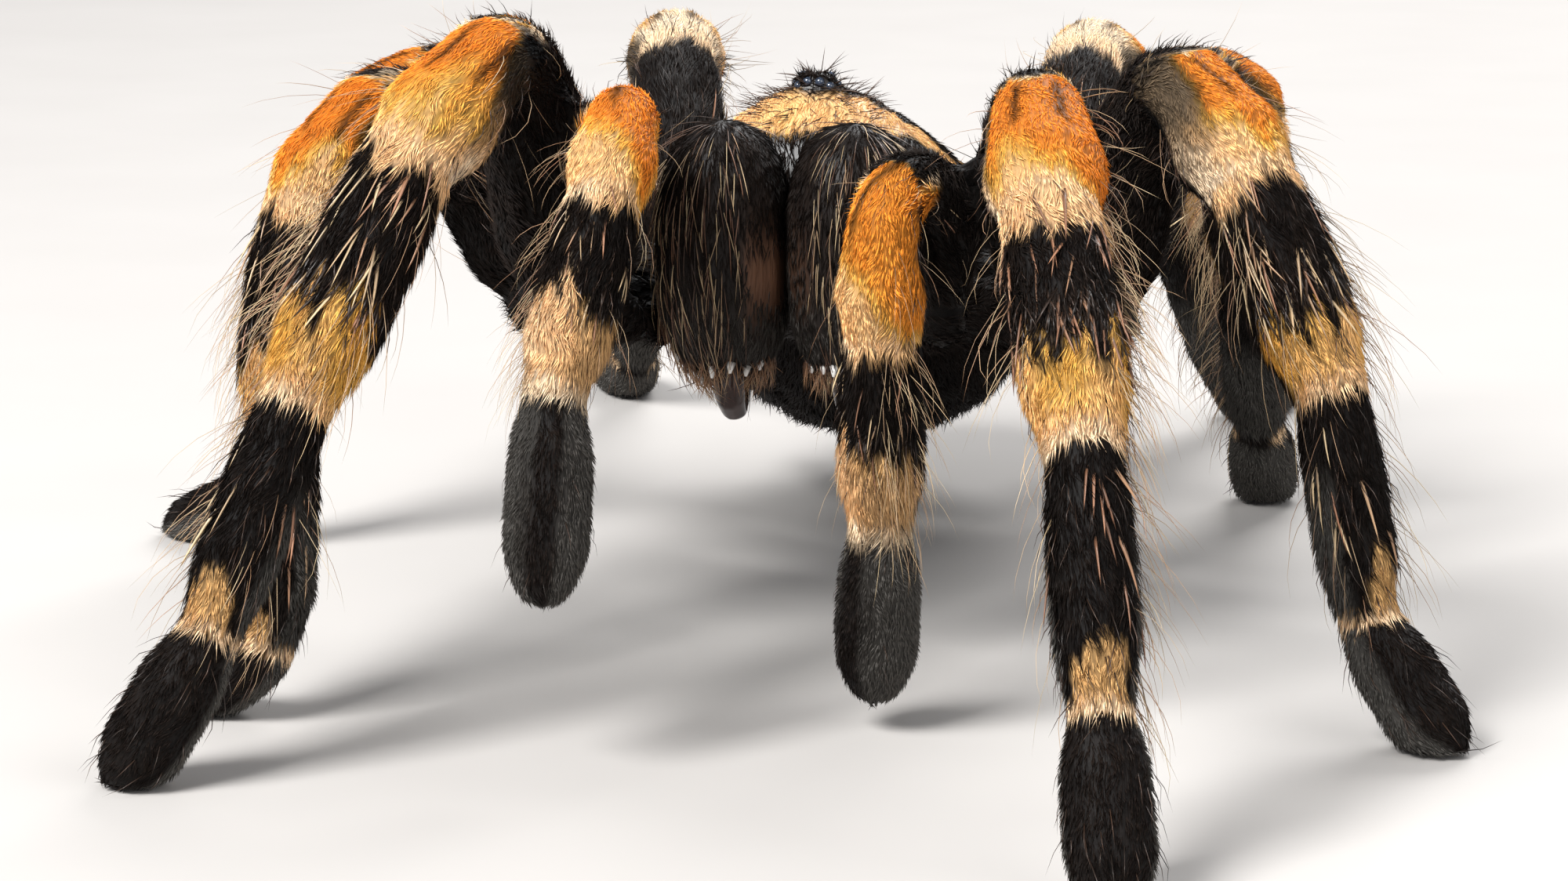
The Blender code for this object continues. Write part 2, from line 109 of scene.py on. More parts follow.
def limb_line(name):
    """Points down the middle of a limb, with the place of each: joint number plus share of it."""
    solids = [corners(f"{name}_{joint}") for joint in LIMB_JOINTS[name]]
    hinges = [hinge_between(a, b) for a, b in zip(solids, solids[1:])]
    ends = [far_end(solids[0], hinges[0]), *hinges, far_end(solids[-1], hinges[-1])]
    at, place = [], []
    for number, (solid, first, last) in enumerate(zip(solids, ends, ends[1:])):
        run = last - first
        share = np.clip((solid - first) @ run / (run @ run), 0, 1)
        off = solid - first - share[:, None] * run
        hump = 4 * share * (1 - share)
        sag = (hump[:, None] * off).sum(0) / (hump * hump).sum()
        for step in range(LINE_STEPS):
            t = step / LINE_STEPS
            at.append(first + t * run + 4 * t * (1 - t) * sag)
            place.append(number + t)
    at = np.array([*at, ends[-1]])
    place = np.array([*place, len(solids)])
    tangent = unit(np.gradient(at, axis=0))
    heading = at[-1] - at[0]
    heading[2] = 0
    across = unit(np.cross(heading, (0, 0, 1)))
    back = unit(np.cross(np.broadcast_to(across, tangent.shape), tangent))
    run = np.concatenate([[0], np.cumsum(np.linalg.norm(np.diff(at, axis=0), axis=1))])
    return {
        "name": name,
        "at": at,
        "place": place,
        "tangent": tangent,
        "across": np.broadcast_to(across, tangent.shape),
        "back": back,
        "run": run,
        "joints": len(solids),
        "knee": ends[1],
        "knee_run": unit(ends[2] - ends[1]),
    }


def along_limb(points, limb):
    """Where points lie on a limb: joint, share of it, turn round it from its back, and so on."""
    start, step = limb["at"][:-1], np.diff(limb["at"], axis=0)
    t = np.clip(((points[:, None] - start) * step).sum(2) / (step * step).sum(1), 0, 1)
    gap = np.linalg.norm(points[:, None] - start - t[..., None] * step, axis=2)
    nearest = gap.argmin(1)
    t = t[np.arange(len(points)), nearest]

    def between(field):
        w = t if field.ndim == 1 else t[:, None]
        return field[nearest] * (1 - w) + field[nearest + 1] * w

    place = between(limb["place"])
    joint = np.minimum(place.astype(int), limb["joints"] - 1)
    off = points - between(limb["at"])
    tangent = unit(between(limb["tangent"]))
    back, across = unit(between(limb["back"])), between(limb["across"])
    return {
        "joint": joint,
        "share": place - joint,
        "turn": np.arctan2(dot(off, across), dot(off, back)),
        "run": between(limb["run"]),
        "tangent": tangent,
        "across": across,
        "back": back,
        "off": off,
        "past_knee": (points - limb["knee"]) @ limb["knee_run"] / MM,
    }


LIMBS = [limb_line(name) for name in LIMB_JOINTS]

# ---- The skin ----
# One hide covers the limbs, the underside of the body with its eight hips, the waist, the belly
# and the spinnerets. Copies of the solids are swollen until they run together, made one closed
# surface, smoothed, and drawn in by the depth of the coat that grows on it.
SWELL = 0.32 * MM
HIDE_GRAIN = 0.41 * MM
SMOOTH_ROUNDS = 10
BODY_NODES = ["sternum_and_coxae", "pedicel", "abdomen", "spinneret_left", "spinneret_right"]
LIMB_NODES = [f"{name}_{joint}" for name, joints in LIMB_JOINTS.items() for joint in joints]
FLESH = LIMB_NODES + BODY_NODES
COAT_DEPTH = {
    "femur": 0.3,
    "patella": 0.16,
    "tibia": 0.3,
    "metatarsus": 0.26,
    "tarsus": 0.16,
    "sternum": 0.45,
    "pedicel": 0.3,
    "abdomen": 0.85,
    "spinneret": 0.12,
}
DEPTH_ROUNDS = 8


def swollen_copy(nodes, by):
    whole = bmesh.new()
    for node in nodes:
        one = bmesh.new()
        one.from_mesh(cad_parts[node].data)
        bmesh.ops.remove_doubles(one, verts=one.verts, dist=1e-6)
        one.normal_update()
        for vert in one.verts:
            vert.co += vert.normal * by
        copy = bpy.data.meshes.new("copy")
        one.to_mesh(copy)
        one.free()
        whole.from_mesh(copy)
        bpy.data.meshes.remove(copy)
    return whole


def as_object(name, source):
    """A mesh, or a bmesh that is then freed, as an object in the scene."""
    mesh = source
    if isinstance(source, bmesh.types.BMesh):
        mesh = bpy.data.meshes.new(name)
        source.to_mesh(mesh)
        source.free()
    made = bpy.data.objects.new(name, mesh)
    bpy.context.scene.collection.objects.link(made)
    return made


def run_together(name, nodes, grain, swell, smooth_rounds):
    """One closed, smoothed surface round the nodes."""
    lump = as_object(name, swollen_copy(nodes, swell))
    remesh = lump.modifiers.new("run_together", "REMESH")
    remesh.mode = "VOXEL"
    remesh.voxel_size = grain
    smooth = lump.modifiers.new("smooth", "SMOOTH")
    smooth.factor = 0.5
    smooth.iterations = smooth_rounds
    depsgraph = bpy.context.evaluated_depsgraph_get()
    surface = bpy.data.meshes.new_from_object(lump.evaluated_get(depsgraph))
    old = lump.data
    lump.modifiers.clear()
    lump.data = surface
    bpy.data.meshes.remove(old)
    surface.name = name
    surface.shade_smooth()
    return lump


def vertex_arrays(mesh):
    points = np.empty(len(mesh.vertices) * 3)
    mesh.vertices.foreach_get("co", points)
    normals = np.empty(len(mesh.vertices) * 3)
    mesh.vertices.foreach_get("normal", normals)
    return points.reshape(-1, 3), normals.reshape(-1, 3)


def move_vertices(mesh, points):
    mesh.vertices.foreach_set("co", points.ravel())
    mesh.update()


def spread(mesh, values, rounds):
    """Values averaged with those of the neighbouring vertices, round after round."""
    edges = np.empty(len(mesh.edges) * 2, int)
    mesh.edges.foreach_get("vertices", edges)
    edges = edges.reshape(-1, 2)
    count = np.bincount(edges.ravel(), minlength=len(values))
    for _ in range(rounds):
        total = np.bincount(edges[:, 0], values[edges[:, 1]], len(values))
        total += np.bincount(edges[:, 1], values[edges[:, 0]], len(values))
        values = (values + total) / (1 + count)
    return values


def nearest_nodes(points, nodes):
    """For each point, the number of the node whose surface is nearest."""
    verts, faces, owner = [], [], []
    for number, node in enumerate(nodes):
        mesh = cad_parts[node].data
        base = len(verts)
        verts += [v.co.copy() for v in mesh.vertices]
        faces += [[base + i for i in p.vertices] for p in mesh.polygons]
        owner += [number] * len(mesh.polygons)
    tree = BVHTree.FromPolygons(verts, faces)
    return np.array([owner[tree.find_nearest(p)[2]] for p in points])


skin = run_together("skin", FLESH, HIDE_GRAIN, SWELL, SMOOTH_ROUNDS)
points, normals = vertex_arrays(skin.data)
skin_node = nearest_nodes(points, FLESH)
limb_of_node = np.array(
    [list(LIMB_JOINTS).index(name) for name, joints in LIMB_JOINTS.items() for _ in joints]
    + [-1] * len(BODY_NODES)
)
skin_limb = limb_of_node[skin_node]
node_depth = [next(deep for part, deep in COAT_DEPTH.items() if part in node) for node in FLESH]
depth = np.array(node_depth)[skin_node]
depth = spread(skin.data, depth, DEPTH_ROUNDS)
points -= normals * (SWELL + depth[:, None] * MM)
move_vertices(skin.data, points)
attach(skin, "root")
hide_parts(*FLESH)

# ---- The markings ----
# Black joints, knees orange above and cream below, a cream band at the end of each shin and
# a small one above each foot, and grey velvet pads under the feet. Hide and hair take their
# markings from the same rules, as three shares: pale band, warmth of the band, and velvet.


def ramp(x, low, high):
    t = np.clip((x - low) / (high - low), 0, 1)
    return t * t * (3 - 2 * t)


def ripple(points, size, seed):
    """Smooth noise of about -1 to 1, with humps about size across."""
    draw = np.random.default_rng(seed)
    waves = draw.normal(size=(12, 3)) * (2.4 / size)
    return np.sin(points @ waves.T + draw.uniform(0, math.tau, 12)).sum(1) / math.sqrt(6)


def limb_grain(there):
    """Coordinates in mm that are squeezed lengthwise, so that noise in them makes streaks."""
    return np.stack(
        [
            dot(there["off"], there["across"]) / MM,
            dot(there["off"], there["back"]) / MM,
            there["run"] / MM * 0.16,
        ],
        axis=1,
    )


# A leg's own marks. Angles are in radians from the middle of its back, and lengths are shares of
# the joint.
LEG_MARKS = {
    # how far the leg is rolled inwards about its own length
    "roll": 0.0,
    # warmth of the knee's top, where it fades to cream, and how much sooner it does on its lit side:
    # painted light
    "knee_warmth": 0.9,
    "knee_fade": (0.58, 0.92),
    "knee_lean": 0.0,
    # where the knee's pale start ends
    "knee_start": 0.1,
    # how far round the knee's inner side is brown, how that recedes along it, and how dark it is
    "brown": (0.9, 0.3, 0.82),
    # where the shin's band starts, its warmth, and where its thin collar ends
    "shin_band": 0.62,
    "shin_warmth": 0.5,
    "shin_collar": 0.035,
}
PALP_MARKS = {"knee_fade": (0.46, 0.8), "knee_lean": 0.22, "shin_band": 0.54, "shin_warmth": 0.28}
# what differs on single limbs
LIMB_MARKS = {
    "leg_1_left": {
        "roll": 0.12,
        "knee_fade": (0.7, 1.02),
        "knee_lean": 0.16,
        "brown": (0.78, 0.3, 0.82),
        "shin_band": 0.68,
        "shin_collar": 0.13,
    },
    "leg_1_right": {"roll": 0.45, "knee_fade": (0.42, 0.95), "brown": (0.22, 0.9, 0.96)},
    "leg_2_left": {"roll": -0.15, "knee_lean": 0.14, "brown": (0.45, 0.45, 0.82)},
    "leg_2_right": {"roll": 0.2, "brown": (0.45, 0.45, 0.82)},
    "leg_4_left": {"knee_start": 0.5},
    "leg_4_right": {"knee_start": 0.5},
    "palp_left": PALP_MARKS | {"knee_fade": (0.3, 0.64), "knee_warmth": 0.83},
    "palp_right": PALP_MARKS,
}
PLAIN_WARMTH = 0.4
CREAM_WARMTH = 0.3
BROWN_WARMTH = 0.12
COLLAR_WARMTH = 0.22
CUFF_WARMTH = 0.08
# radians from the back of a knee to each of its two dark stripes, and their width
STRIPE_AT = 0.36
STRIPE_WIDTH = 0.085
PALP_STRIPE_WIDTH = 0.16
STRIPE_DARK = 0.85
# radians round a knee that its colour reaches at its start, and how much more at its end
KNEE_WRAP = 1.5
KNEE_WIDENING = 0.75
# where the cuffs fade in: mm before the knee on a palp's femur, share of the femur on a hind leg
PALP_CUFF = (-1.25, -1.05)
HIND_CUFF = (0.86, 0.9)
# radians round the shin that its band and its collar fade out over
SHIN_WRAP = (1.95, 2.4)
COLLAR_WRAP = (1.7, 2.1)
# shares along the shank where its patch starts, its ring fades in and its velvet does
PATCH_START = 0.7
RING = (0.93, 0.96)
SHANK_VELVET = (0.22, 0.5)
PATCH_WARMTH = 0.34
PATCH_SHADE = 0.74
# radians from the back of a foot where its sole fades in, on a leg and on a palp
SOLE = (1.15, 1.5)
PALP_SOLE = (0.2, 0.9)
PALP_SOLE_SHARE = 0.75


def femur_marks(s, own):
    """Black, but for a cuff at the end of the palps' and hind legs' femurs."""
    band, warmth = 0 * s.share, PLAIN_WARMTH + 0 * s.share
    if s.palp:
        band = ramp(s.past_knee + 0.15 * s.rag, *PALP_CUFF) * ramp(s.share, 0.78, 0.84)
        warmth = own["knee_warmth"] * ramp(s.past_knee, -1.2, -0.6)
    if s.hind:
        band = ramp(s.share + 0.02 * s.rag, *HIND_CUFF) * (1 - ramp(s.away, 1.3, 1.7))
        warmth = CUFF_WARMTH + 0 * band
    return band, warmth, 0 * band, 1 + 0 * band


def knee_marks(s, own):
    """Orange that fades to cream, sooner on its lit side as painted light, with dark stripes above
    and a brown inner side.
    """
    wrap = KNEE_WRAP + KNEE_WIDENING * s.share + 0.1 * s.rag + 0.05 * s.fine
    band = 1 - ramp(s.away, wrap - 0.1, wrap + 0.25)
    # painted light: the knee turns cream sooner on the side that the light falls on
    painted_light = own["knee_lean"] * s.turn
    fade = ramp(s.share + 0.05 * s.rag + 0.06 * s.blotch + painted_light, *own["knee_fade"])
    top = own["knee_warmth"]
    warmth = top - (top - CREAM_WARMTH) * fade - 0.12 * ramp(s.share, 0.88, 1.0)
    warmth -= 0.3 * ramp(s.inner + 0.1 * s.rag, 0.95, 1.6)
    if s.palp:
        stripe = np.exp(-((s.away / PALP_STRIPE_WIDTH) ** 2))
        stripe *= 1 - ramp(s.share + 0.05 * s.rag, 0.12, 0.5)
        return band, np.clip(warmth, 0, 1), 0 * band, 1 - STRIPE_DARK * stripe
    if not s.hind:
        band = band * ramp(s.share + 0.03 * s.rag, 0.0, 0.07)
    start = own["knee_start"]
    warmth *= ramp(s.share + 0.04 * s.rag + 0.02 * s.fine, 0.3 * start, start)
    stripe = np.exp(-(((s.away - STRIPE_AT - 0.05 * s.blotch) / STRIPE_WIDTH) ** 2))
    stripe *= ramp(s.share, 0.1, 0.2) * (1 - ramp(s.share + 0.06 * s.fine, 0.5, 0.66))
    low, slope, dark = own["brown"]
    beyond = s.inner - low - slope * s.share - 0.08 * s.rag
    upper_end = 1 - 0.95 * ramp(s.share + 0.08 * s.rag, 0.35, 0.95)
    brown = ramp(beyond, 0, 0.25) * upper_end
    greyer = ramp(beyond, 0.12, 0.4) * upper_end
    warmth = np.clip(warmth, 0, 1) * (1 - greyer) + BROWN_WARMTH * greyer
    shade = (1 - STRIPE_DARK * stripe) * (1 - dark * brown)
    return band * (1 - 0.2 * brown), warmth, 0 * band, shade


def shin_marks(s, own):
    """A cream band at the end, ragged at its top, and a thin cream collar at the start. On a palp,
    painted light on one side and painted shade on the other.
    """
    start = own["shin_band"] + 0.07 * s.rag + 0.035 * s.fine + 0.035 * np.cos(3 * s.inner)
    band = ramp(s.share, start - 0.03, start + 0.04)
    band *= 1 - ramp(s.away + 0.1 * s.rag, *SHIN_WRAP)
    collar = own["shin_collar"] + 0.03 * np.cos(4 * s.inner) + 0.02 * s.rag
    on_collar = (1 - ramp(s.share, collar, collar + 0.03)) * (1 - ramp(s.away, *COLLAR_WRAP))
    warmth = own["shin_warmth"] + 0.07 * s.blotch - 0.32 * ramp(s.share, 0.84, 0.98)
    warmth = np.where(s.share < 0.4, COLLAR_WARMTH, warmth)
    shade = 1 + 0 * band
    # on a palp, painted light makes the lit side of the shin paler, and painted shade makes the other
    # side darker and warmer
    if s.palp:
        warmth += 0.16 * (1 - ramp(s.turn, -0.6, 0.3)) - 0.12
        shade -= 0.35 * (1 - ramp(s.turn + 0.1 * s.rag, -0.7, 0.0))
    return np.maximum(band, on_collar), np.clip(warmth, 0, 1), 0 * band, shade


def shank_marks(s, own):
    """A small cream patch and ring above the foot, and grey velvet along the underside."""
    point = PATCH_START + 0.05 * s.rag + 0.09 * s.away
    patch = ramp(s.share, point, point + 0.05) * (1 - ramp(s.away, 0.75, 0.95))
    ring = ramp(s.share, *RING) * (1 - ramp(s.away, 2.2, 2.6))
    at_ring = 0.26 * ramp(s.share, 0.9, 0.98)
    velvet = ramp(s.away + 0.08 * s.rag, 1.15, 1.4) * ramp(s.share, *SHANK_VELVET)
    velvet *= 1 - ramp(s.share, 0.92, 0.96)
    return np.maximum(patch, ring), PATCH_WARMTH - at_ring, velvet, PATCH_SHADE + at_ring


def foot_marks(s, own):
    """Black above, with a sole of grey velvet that is broader on a palp."""
    sole = ramp(s.away + 0.06 * s.rag, *SOLE)
    if s.palp:
        sole = ramp(s.away + 0.1 * s.rag, *PALP_SOLE) * PALP_SOLE_SHARE
    return 0 * sole, PLAIN_WARMTH + 0 * sole, sole, 1 + 0 * sole


JOINT_MARKS = {
    "femur": femur_marks,
    "patella": knee_marks,
    "tibia": shin_marks,
    "metatarsus": shank_marks,
    "tarsus": foot_marks,
}


def limb_marking(limb, there):
    """Markings of points on a limb: band, warmth and velvet, and then their shade."""
    name = limb["name"]
    own = LEG_MARKS | LIMB_MARKS.get(name, {})
    grain = limb_grain(there)
    s = SimpleNamespace(**there, palp=name.startswith("palp"), hind=name.startswith("leg_4"))
    s.inner = s.turn * (1 if name.endswith("left") else -1) - own["roll"]
    s.away = np.abs(s.inner)
    s.rag = ripple(grain, 0.9, 3)
    s.fine = ripple(grain, 0.35, 4)
    s.blotch = ripple(grain * (1, 1, 4), 2.5, 5)
    every = np.array([JOINT_MARKS[joint](s, own) for joint in LIMB_JOINTS[name]])
    marks = every[s.joint, :, np.arange(len(s.joint))]
    return marks[:, :3], marks[:, 3]


def set_vectors(mesh, name, values):
    layer = mesh.attributes.new(name, "FLOAT_VECTOR", "POINT")
    layer.data.foreach_set("vector", np.ascontiguousarray(values, np.float32).ravel())


HIDE_TONE = 0.35
points, normals = vertex_arrays(skin.data)
marking = np.zeros((len(points), 3))
grain = np.stack([points[:, 0], points[:, 2], points[:, 1] * 0.16], axis=1) / MM
shade = np.ones(len(points))
for number, limb in enumerate(LIMBS):
    mine = skin_limb == number
    there = along_limb(points[mine], limb)
    marking[mine], shade[mine] = limb_marking(limb, there)
    grain[mine] = limb_grain(there)
set_vectors(skin.data, "marking", marking)
set_vectors(skin.data, "grain", grain)
set_vectors(skin.data, "strand", np.stack([0 * shade, 0 * shade + HIDE_TONE, shade], axis=1))


def new_material(name):
    material = bpy.data.materials.new(name)
    material.use_nodes = True
    tree = material.node_tree
    return material, tree, tree.nodes["Principled BSDF"]


def wear(piece, material):
    """Give a piece one material."""
    piece.data.materials.clear()
    piece.data.materials.append(material)


def node(tree, kind, **settings):
    made = tree.nodes.new(kind)
    for name, value in settings.items():
        setattr(made, name, value)
    return made


def new_group(name, inputs, outputs):
    """A node group with named sockets of these kinds, and its own two end nodes."""
    group = bpy.data.node_groups.new(name, "ShaderNodeTree")
    for way, sockets in (("INPUT", inputs), ("OUTPUT", outputs)):
        for label, kind in sockets.items():
            group.interface.new_socket(label, in_out=way, socket_type=f"NodeSocket{kind}")
    return group, node(group, "NodeGroupInput"), node(group, "NodeGroupOutput")


def colour_stops(ramp_node, stops):
    elements = ramp_node.color_ramp.elements
    while len(elements) < len(stops):
        elements.new(0.5)
    for element, (position, colour) in zip(elements, stops):
        element.position = position
        element.color = (*colour, 1)


def mixed(tree, factor, first, second, blend="MIX"):
    """A colour mix, where each input is a socket or a plain value."""
    mix = node(tree, "ShaderNodeMix", data_type="RGBA", blend_type=blend)
    for socket, value in ((mix.inputs[0], factor), (mix.inputs[6], first), (mix.inputs[7], second)):
        if isinstance(value, bpy.types.NodeSocket):
            tree.links.new(value, socket)
        elif socket.type == "RGBA":
            socket.default_value = (*value, 1)
        else:
            socket.default_value = value
    return mix.outputs[2]


def calculated(tree, operation, first, second=0.0):
    made = node(tree, "ShaderNodeMath", operation=operation)
    for socket, value in zip(made.inputs, (first, second)):
        if isinstance(value, bpy.types.NodeSocket):
            tree.links.new(value, socket)
        else:
            socket.default_value = value
    return made.outputs[0]


def times_plus(tree, value, times, plus):
    """A value times a number, plus another."""
    result = calculated(tree, "MULTIPLY_ADD", value, times)
    result.node.inputs[2].default_value = plus
    return result


def dimmed(tree, colour, by):
    made = node(tree, "ShaderNodeVectorMath", operation="SCALE")
    tree.links.new(colour, made.inputs[0])
    tree.links.new(by, made.inputs["Scale"])
    return made.outputs[0]


def clouded(tree, scale, dark, light, detail=2.0):
    """A colour that varies between two in soft clouds through the piece."""
    place = node(tree, "ShaderNodeTexCoord")
    cloud = node(tree, "ShaderNodeTexNoise")
    cloud.inputs["Scale"].default_value = scale
    cloud.inputs["Detail"].default_value = detail
    tree.links.new(place.outputs["Object"], cloud.inputs["Vector"])
    return mixed(tree, cloud.outputs[0], dark, light)


# colour of the pale bands by their warmth
BAND_STOPS = [
    (0.0, (0.92, 0.72, 0.5)),
    (0.25, (0.92, 0.56, 0.27)),
    (0.5, (0.76, 0.42, 0.09)),
    (0.75, (0.84, 0.34, 0.045)),
    (1.0, (0.74, 0.17, 0.012)),
]
BLACK_COAT = (0.004, 0.003, 0.003)
BROWN_COAT = (0.015, 0.009, 0.006)
GREY_VELVET = (0.105, 0.098, 0.088)

coat_colour, sockets_in, sockets_out = new_group(
    "coat_colour", inputs={"Marking": "Vector", "Strand": "Vector"},
    outputs={"Color": "Color", "Roughness": "Float"},
)
split_marking = node(coat_colour, "ShaderNodeSeparateXYZ")
split_strand = node(coat_colour, "ShaderNodeSeparateXYZ")
coat_colour.links.new(sockets_in.outputs["Marking"], split_marking.inputs[0])
coat_colour.links.new(sockets_in.outputs["Strand"], split_strand.inputs[0])
band_ramp = node(coat_colour, "ShaderNodeValToRGB")
colour_stops(band_ramp, BAND_STOPS)
coat_colour.links.new(split_marking.outputs[1], band_ramp.inputs[0])
dark = clouded(coat_colour, 900, BLACK_COAT, BROWN_COAT)
dark = mixed(coat_colour, split_marking.outputs[2], dark, GREY_VELVET)
coloured = mixed(coat_colour, split_marking.outputs[0], dark, band_ramp.outputs[0])
tone = times_plus(coat_colour, split_strand.outputs[1], 0.45, 0.8)
tip = times_plus(coat_colour, split_strand.outputs[0], 0.35, 0.82)
tone = calculated(coat_colour, "MULTIPLY", tone, tip)
tone = calculated(coat_colour, "MULTIPLY", tone, split_strand.outputs[2])
toned = dimmed(coat_colour, coloured, tone)
coat_colour.links.new(toned, sockets_out.inputs["Color"])
roughness = times_plus(coat_colour, split_marking.outputs[2], 0.3, 0.6)
coat_colour.links.new(roughness, sockets_out.inputs["Roughness"])


def read_attribute(tree, name):
    made = node(tree, "ShaderNodeAttribute", attribute_name=name)
    return made.outputs["Vector"]


def use_group(tree, group, **inputs):
    made = node(tree, "ShaderNodeGroup", node_tree=group)
    for name, value in inputs.items():
        tree.links.new(value, made.inputs[name])
    return made


# streaks of hair too fine to stand as tufts
hair_grain, sockets_in, sockets_out = new_group(
    "hair_grain", inputs={"Grain": "Vector"}, outputs={"Height": "Float"}
)
streaks = node(hair_grain, "ShaderNodeTexNoise")
streaks.inputs["Scale"].default_value = 5.5
streaks.inputs["Detail"].default_value = 3
hair_grain.links.new(sockets_in.outputs["Grain"], streaks.inputs["Vector"])
hair_grain.links.new(streaks.outputs[0], sockets_out.inputs["Height"])


def attribute_parts(tree, name):
    """The three shares in an attribute, one socket each."""
    split = node(tree, "ShaderNodeSeparateXYZ")
    tree.links.new(read_attribute(tree, name), split.inputs[0])
    return split.outputs


def coat_of(tree):
    """Colour and roughness of the coat, from the piece's own markings."""
    marking, strand = read_attribute(tree, "marking"), read_attribute(tree, "strand")
    return use_group(tree, coat_colour, Marking=marking, Strand=strand).outputs


def bumped(tree, shader, strength, distance):
    """Bump along the piece's grain, up to distance mm deep. Its height is returned."""
    height = use_group(tree, hair_grain, Grain=read_attribute(tree, "grain")).outputs[0]
    bump = node(tree, "ShaderNodeBump")
    bump.inputs["Strength"].default_value = strength
    bump.inputs["Distance"].default_value = distance * MM
    tree.links.new(height, bump.inputs["Height"])
    tree.links.new(bump.outputs[0], shader.inputs["Normal"])
    return height


coat_skin, tree, shader = new_material("coat_skin")
colour, roughness = coat_of(tree)
height = bumped(tree, shader, 0.8, 0.12)
tree.links.new(mixed(tree, height, colour, (0, 0, 0)), shader.inputs["Base Color"])
tree.links.new(roughness, shader.inputs["Roughness"])
shader.inputs["Specular IOR Level"].default_value = 0.12
wear(skin, coat_skin)

coat_hair, tree, shader = new_material("coat_hair")
colour, roughness = coat_of(tree)
tree.links.new(colour, shader.inputs["Base Color"])
tree.links.new(roughness, shader.inputs["Roughness"])
shader.inputs["Specular IOR Level"].default_value = 0.1

# ---- The short coat of the limbs ----
# Dense soft hair under a millimetre long lies along each joint towards the foot, longest on the
# shins and shortest on knees and feet. Each hair is a slim closed spike whose root sits in the hide.

# how far a root is sunk, in widths of its hair, and how a hair narrows to its tip
ROOT_SINK = 0.25
TAPER = 0.6
# size of a hair's patch in its UV map
PATCH = 0.003


def pick_roots(mesh, allowed, count, draw, density=None):
    """Random places on the faces whose vertices are allowed, spread evenly by area."""
    mesh.calc_loop_triangles()
    triangles = np.empty(len(mesh.loop_triangles) * 3, int)
    mesh.loop_triangles.foreach_get("vertices", triangles)
    triangles = triangles.reshape(-1, 3)
    triangles = triangles[allowed[triangles].all(1)]
    points, normals = vertex_arrays(mesh)
    a, b, c = (points[triangles[:, k]] for k in range(3))
    weight = np.linalg.norm(np.cross(b - a, c - a), axis=1)
    if density is not None:
        weight = weight * density[triangles].mean(1)
    chosen = draw.choice(len(triangles), count, p=weight / weight.sum())
    u, v = draw.random((2, count))
    u, v = np.where(u + v > 1, (1 - u, 1 - v), (u, v))
    shares = np.stack([1 - u - v, u, v], axis=1)
    corner = triangles[chosen]
    roots = (points[corner] * shares[..., None]).sum(1)
    return roots, unit((normals[corner] * shares[..., None]).sum(1))


def hair_mesh(
    name, roots, normals, lie, length, width, lift, curl, bends, marks, chart, material
):
    """One closed three-sided tapering spike for each root that stays above the floor.

    Lift is the angle off the hide at the root, curl the share of it that is gone at the tip, and
    bends the number of rings between them. Marks are the attributes of the spikes, and chart is
    the place of their roots in an unwrap of the hide.
    """
    count = len(roots)
    lie = unit(lie - normals * dot(lie, normals)[:, None])
    side = np.cross(lie, normals)
    rings = bends + 1
    centre = roots - normals * (ROOT_SINK * width)[:, None]
    verts = np.empty((count, rings * 3 + 1, 3))
    tips = np.empty((count, rings * 3 + 1))
    third = math.tau / 3
    for ring in range(rings + 1):
        share = ring / rings
        angle = lift * (1 - curl * share)
        along = lie * np.cos(angle)[:, None] + normals * np.sin(angle)[:, None]
        if ring:
            centre = centre + along * (length / rings)[:, None]
        if ring == rings:
            verts[:, -1] = centre
            tips[:, -1] = 1
            break
        over = np.cross(along, side)
        radius = width / 2 * (1 - share) ** TAPER
        for k in range(3):
            spoke = side * math.cos(third * k) + over * math.sin(third * k)
            verts[:, ring * 3 + k] = centre + spoke * radius[:, None]
            tips[:, ring * 3 + k] = share
    above = verts[..., 2].min(1) > 0
    verts, tips, chart = verts[above], tips[above], chart[above]
    count = len(verts)
    faces = [(0, 2, 1)]
    for ring in range(bends):
        for k in range(ring * 3, ring * 3 + 3):
            following = k + 1 if k % 3 < 2 else k - 2
            faces.append((k, following, following + 3, k + 3))
    top = bends * 3
    faces += [(top + k, top + (k + 1) % 3, top + 3) for k in range(3)]
    pattern = np.concatenate(faces)
    sizes = np.array([len(face) for face in faces])
    per_hair = rings * 3 + 1
    loops = (pattern[None] + np.arange(count)[:, None] * per_hair).ravel()
    starts = np.concatenate([[0], np.cumsum(np.tile(sizes, count))[:-1]])
    mesh = bpy.data.meshes.new(name)
    mesh.vertices.add(count * per_hair)
    mesh.loops.add(len(loops))
    mesh.polygons.add(count * len(faces))
    mesh.vertices.foreach_set("co", verts.astype(np.float32).ravel())
    mesh.polygons.foreach_set("loop_start", starts.astype(np.int32))
    mesh.polygons.foreach_set("vertices", loops.astype(np.int32))
    mesh.update(calc_edges=True)
    mesh.shade_smooth()
    for layer, values in marks.items():
        wide = np.repeat(values[above, None], per_hair, axis=1)
        if layer == "strand":
            wide[..., 0] = tips
        set_vectors(mesh, layer, wide.reshape(-1, 3))
    across = np.tile([-0.5, 0.5, 0.0], rings + 1)[:per_hair]
    across[-1] = 0
    corner_uv = np.empty((count, per_hair, 2))
    corner_uv[..., 0] = chart[:, :1] + across * PATCH
    corner_uv[..., 1] = chart[:, 1:] + tips * PATCH
    flat = corner_uv.reshape(-1, 2)[loops]
    mesh.uv_layers.new(name="OFBake").uv.foreach_set("vector", flat.astype(np.float32).ravel())
    mesh.materials.append(material)
    made = as_object(name, mesh)
    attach(made, "root")
    return made


def strands(draw, shade):
    return np.stack([0 * shade, draw.random(len(shade)), shade], axis=1)


def swept(lie, normals, angle):
    """Lie turned about the normal by angle."""
    return lie * np.cos(angle)[:, None] + np.cross(normals, lie) * np.sin(angle)[:, None]


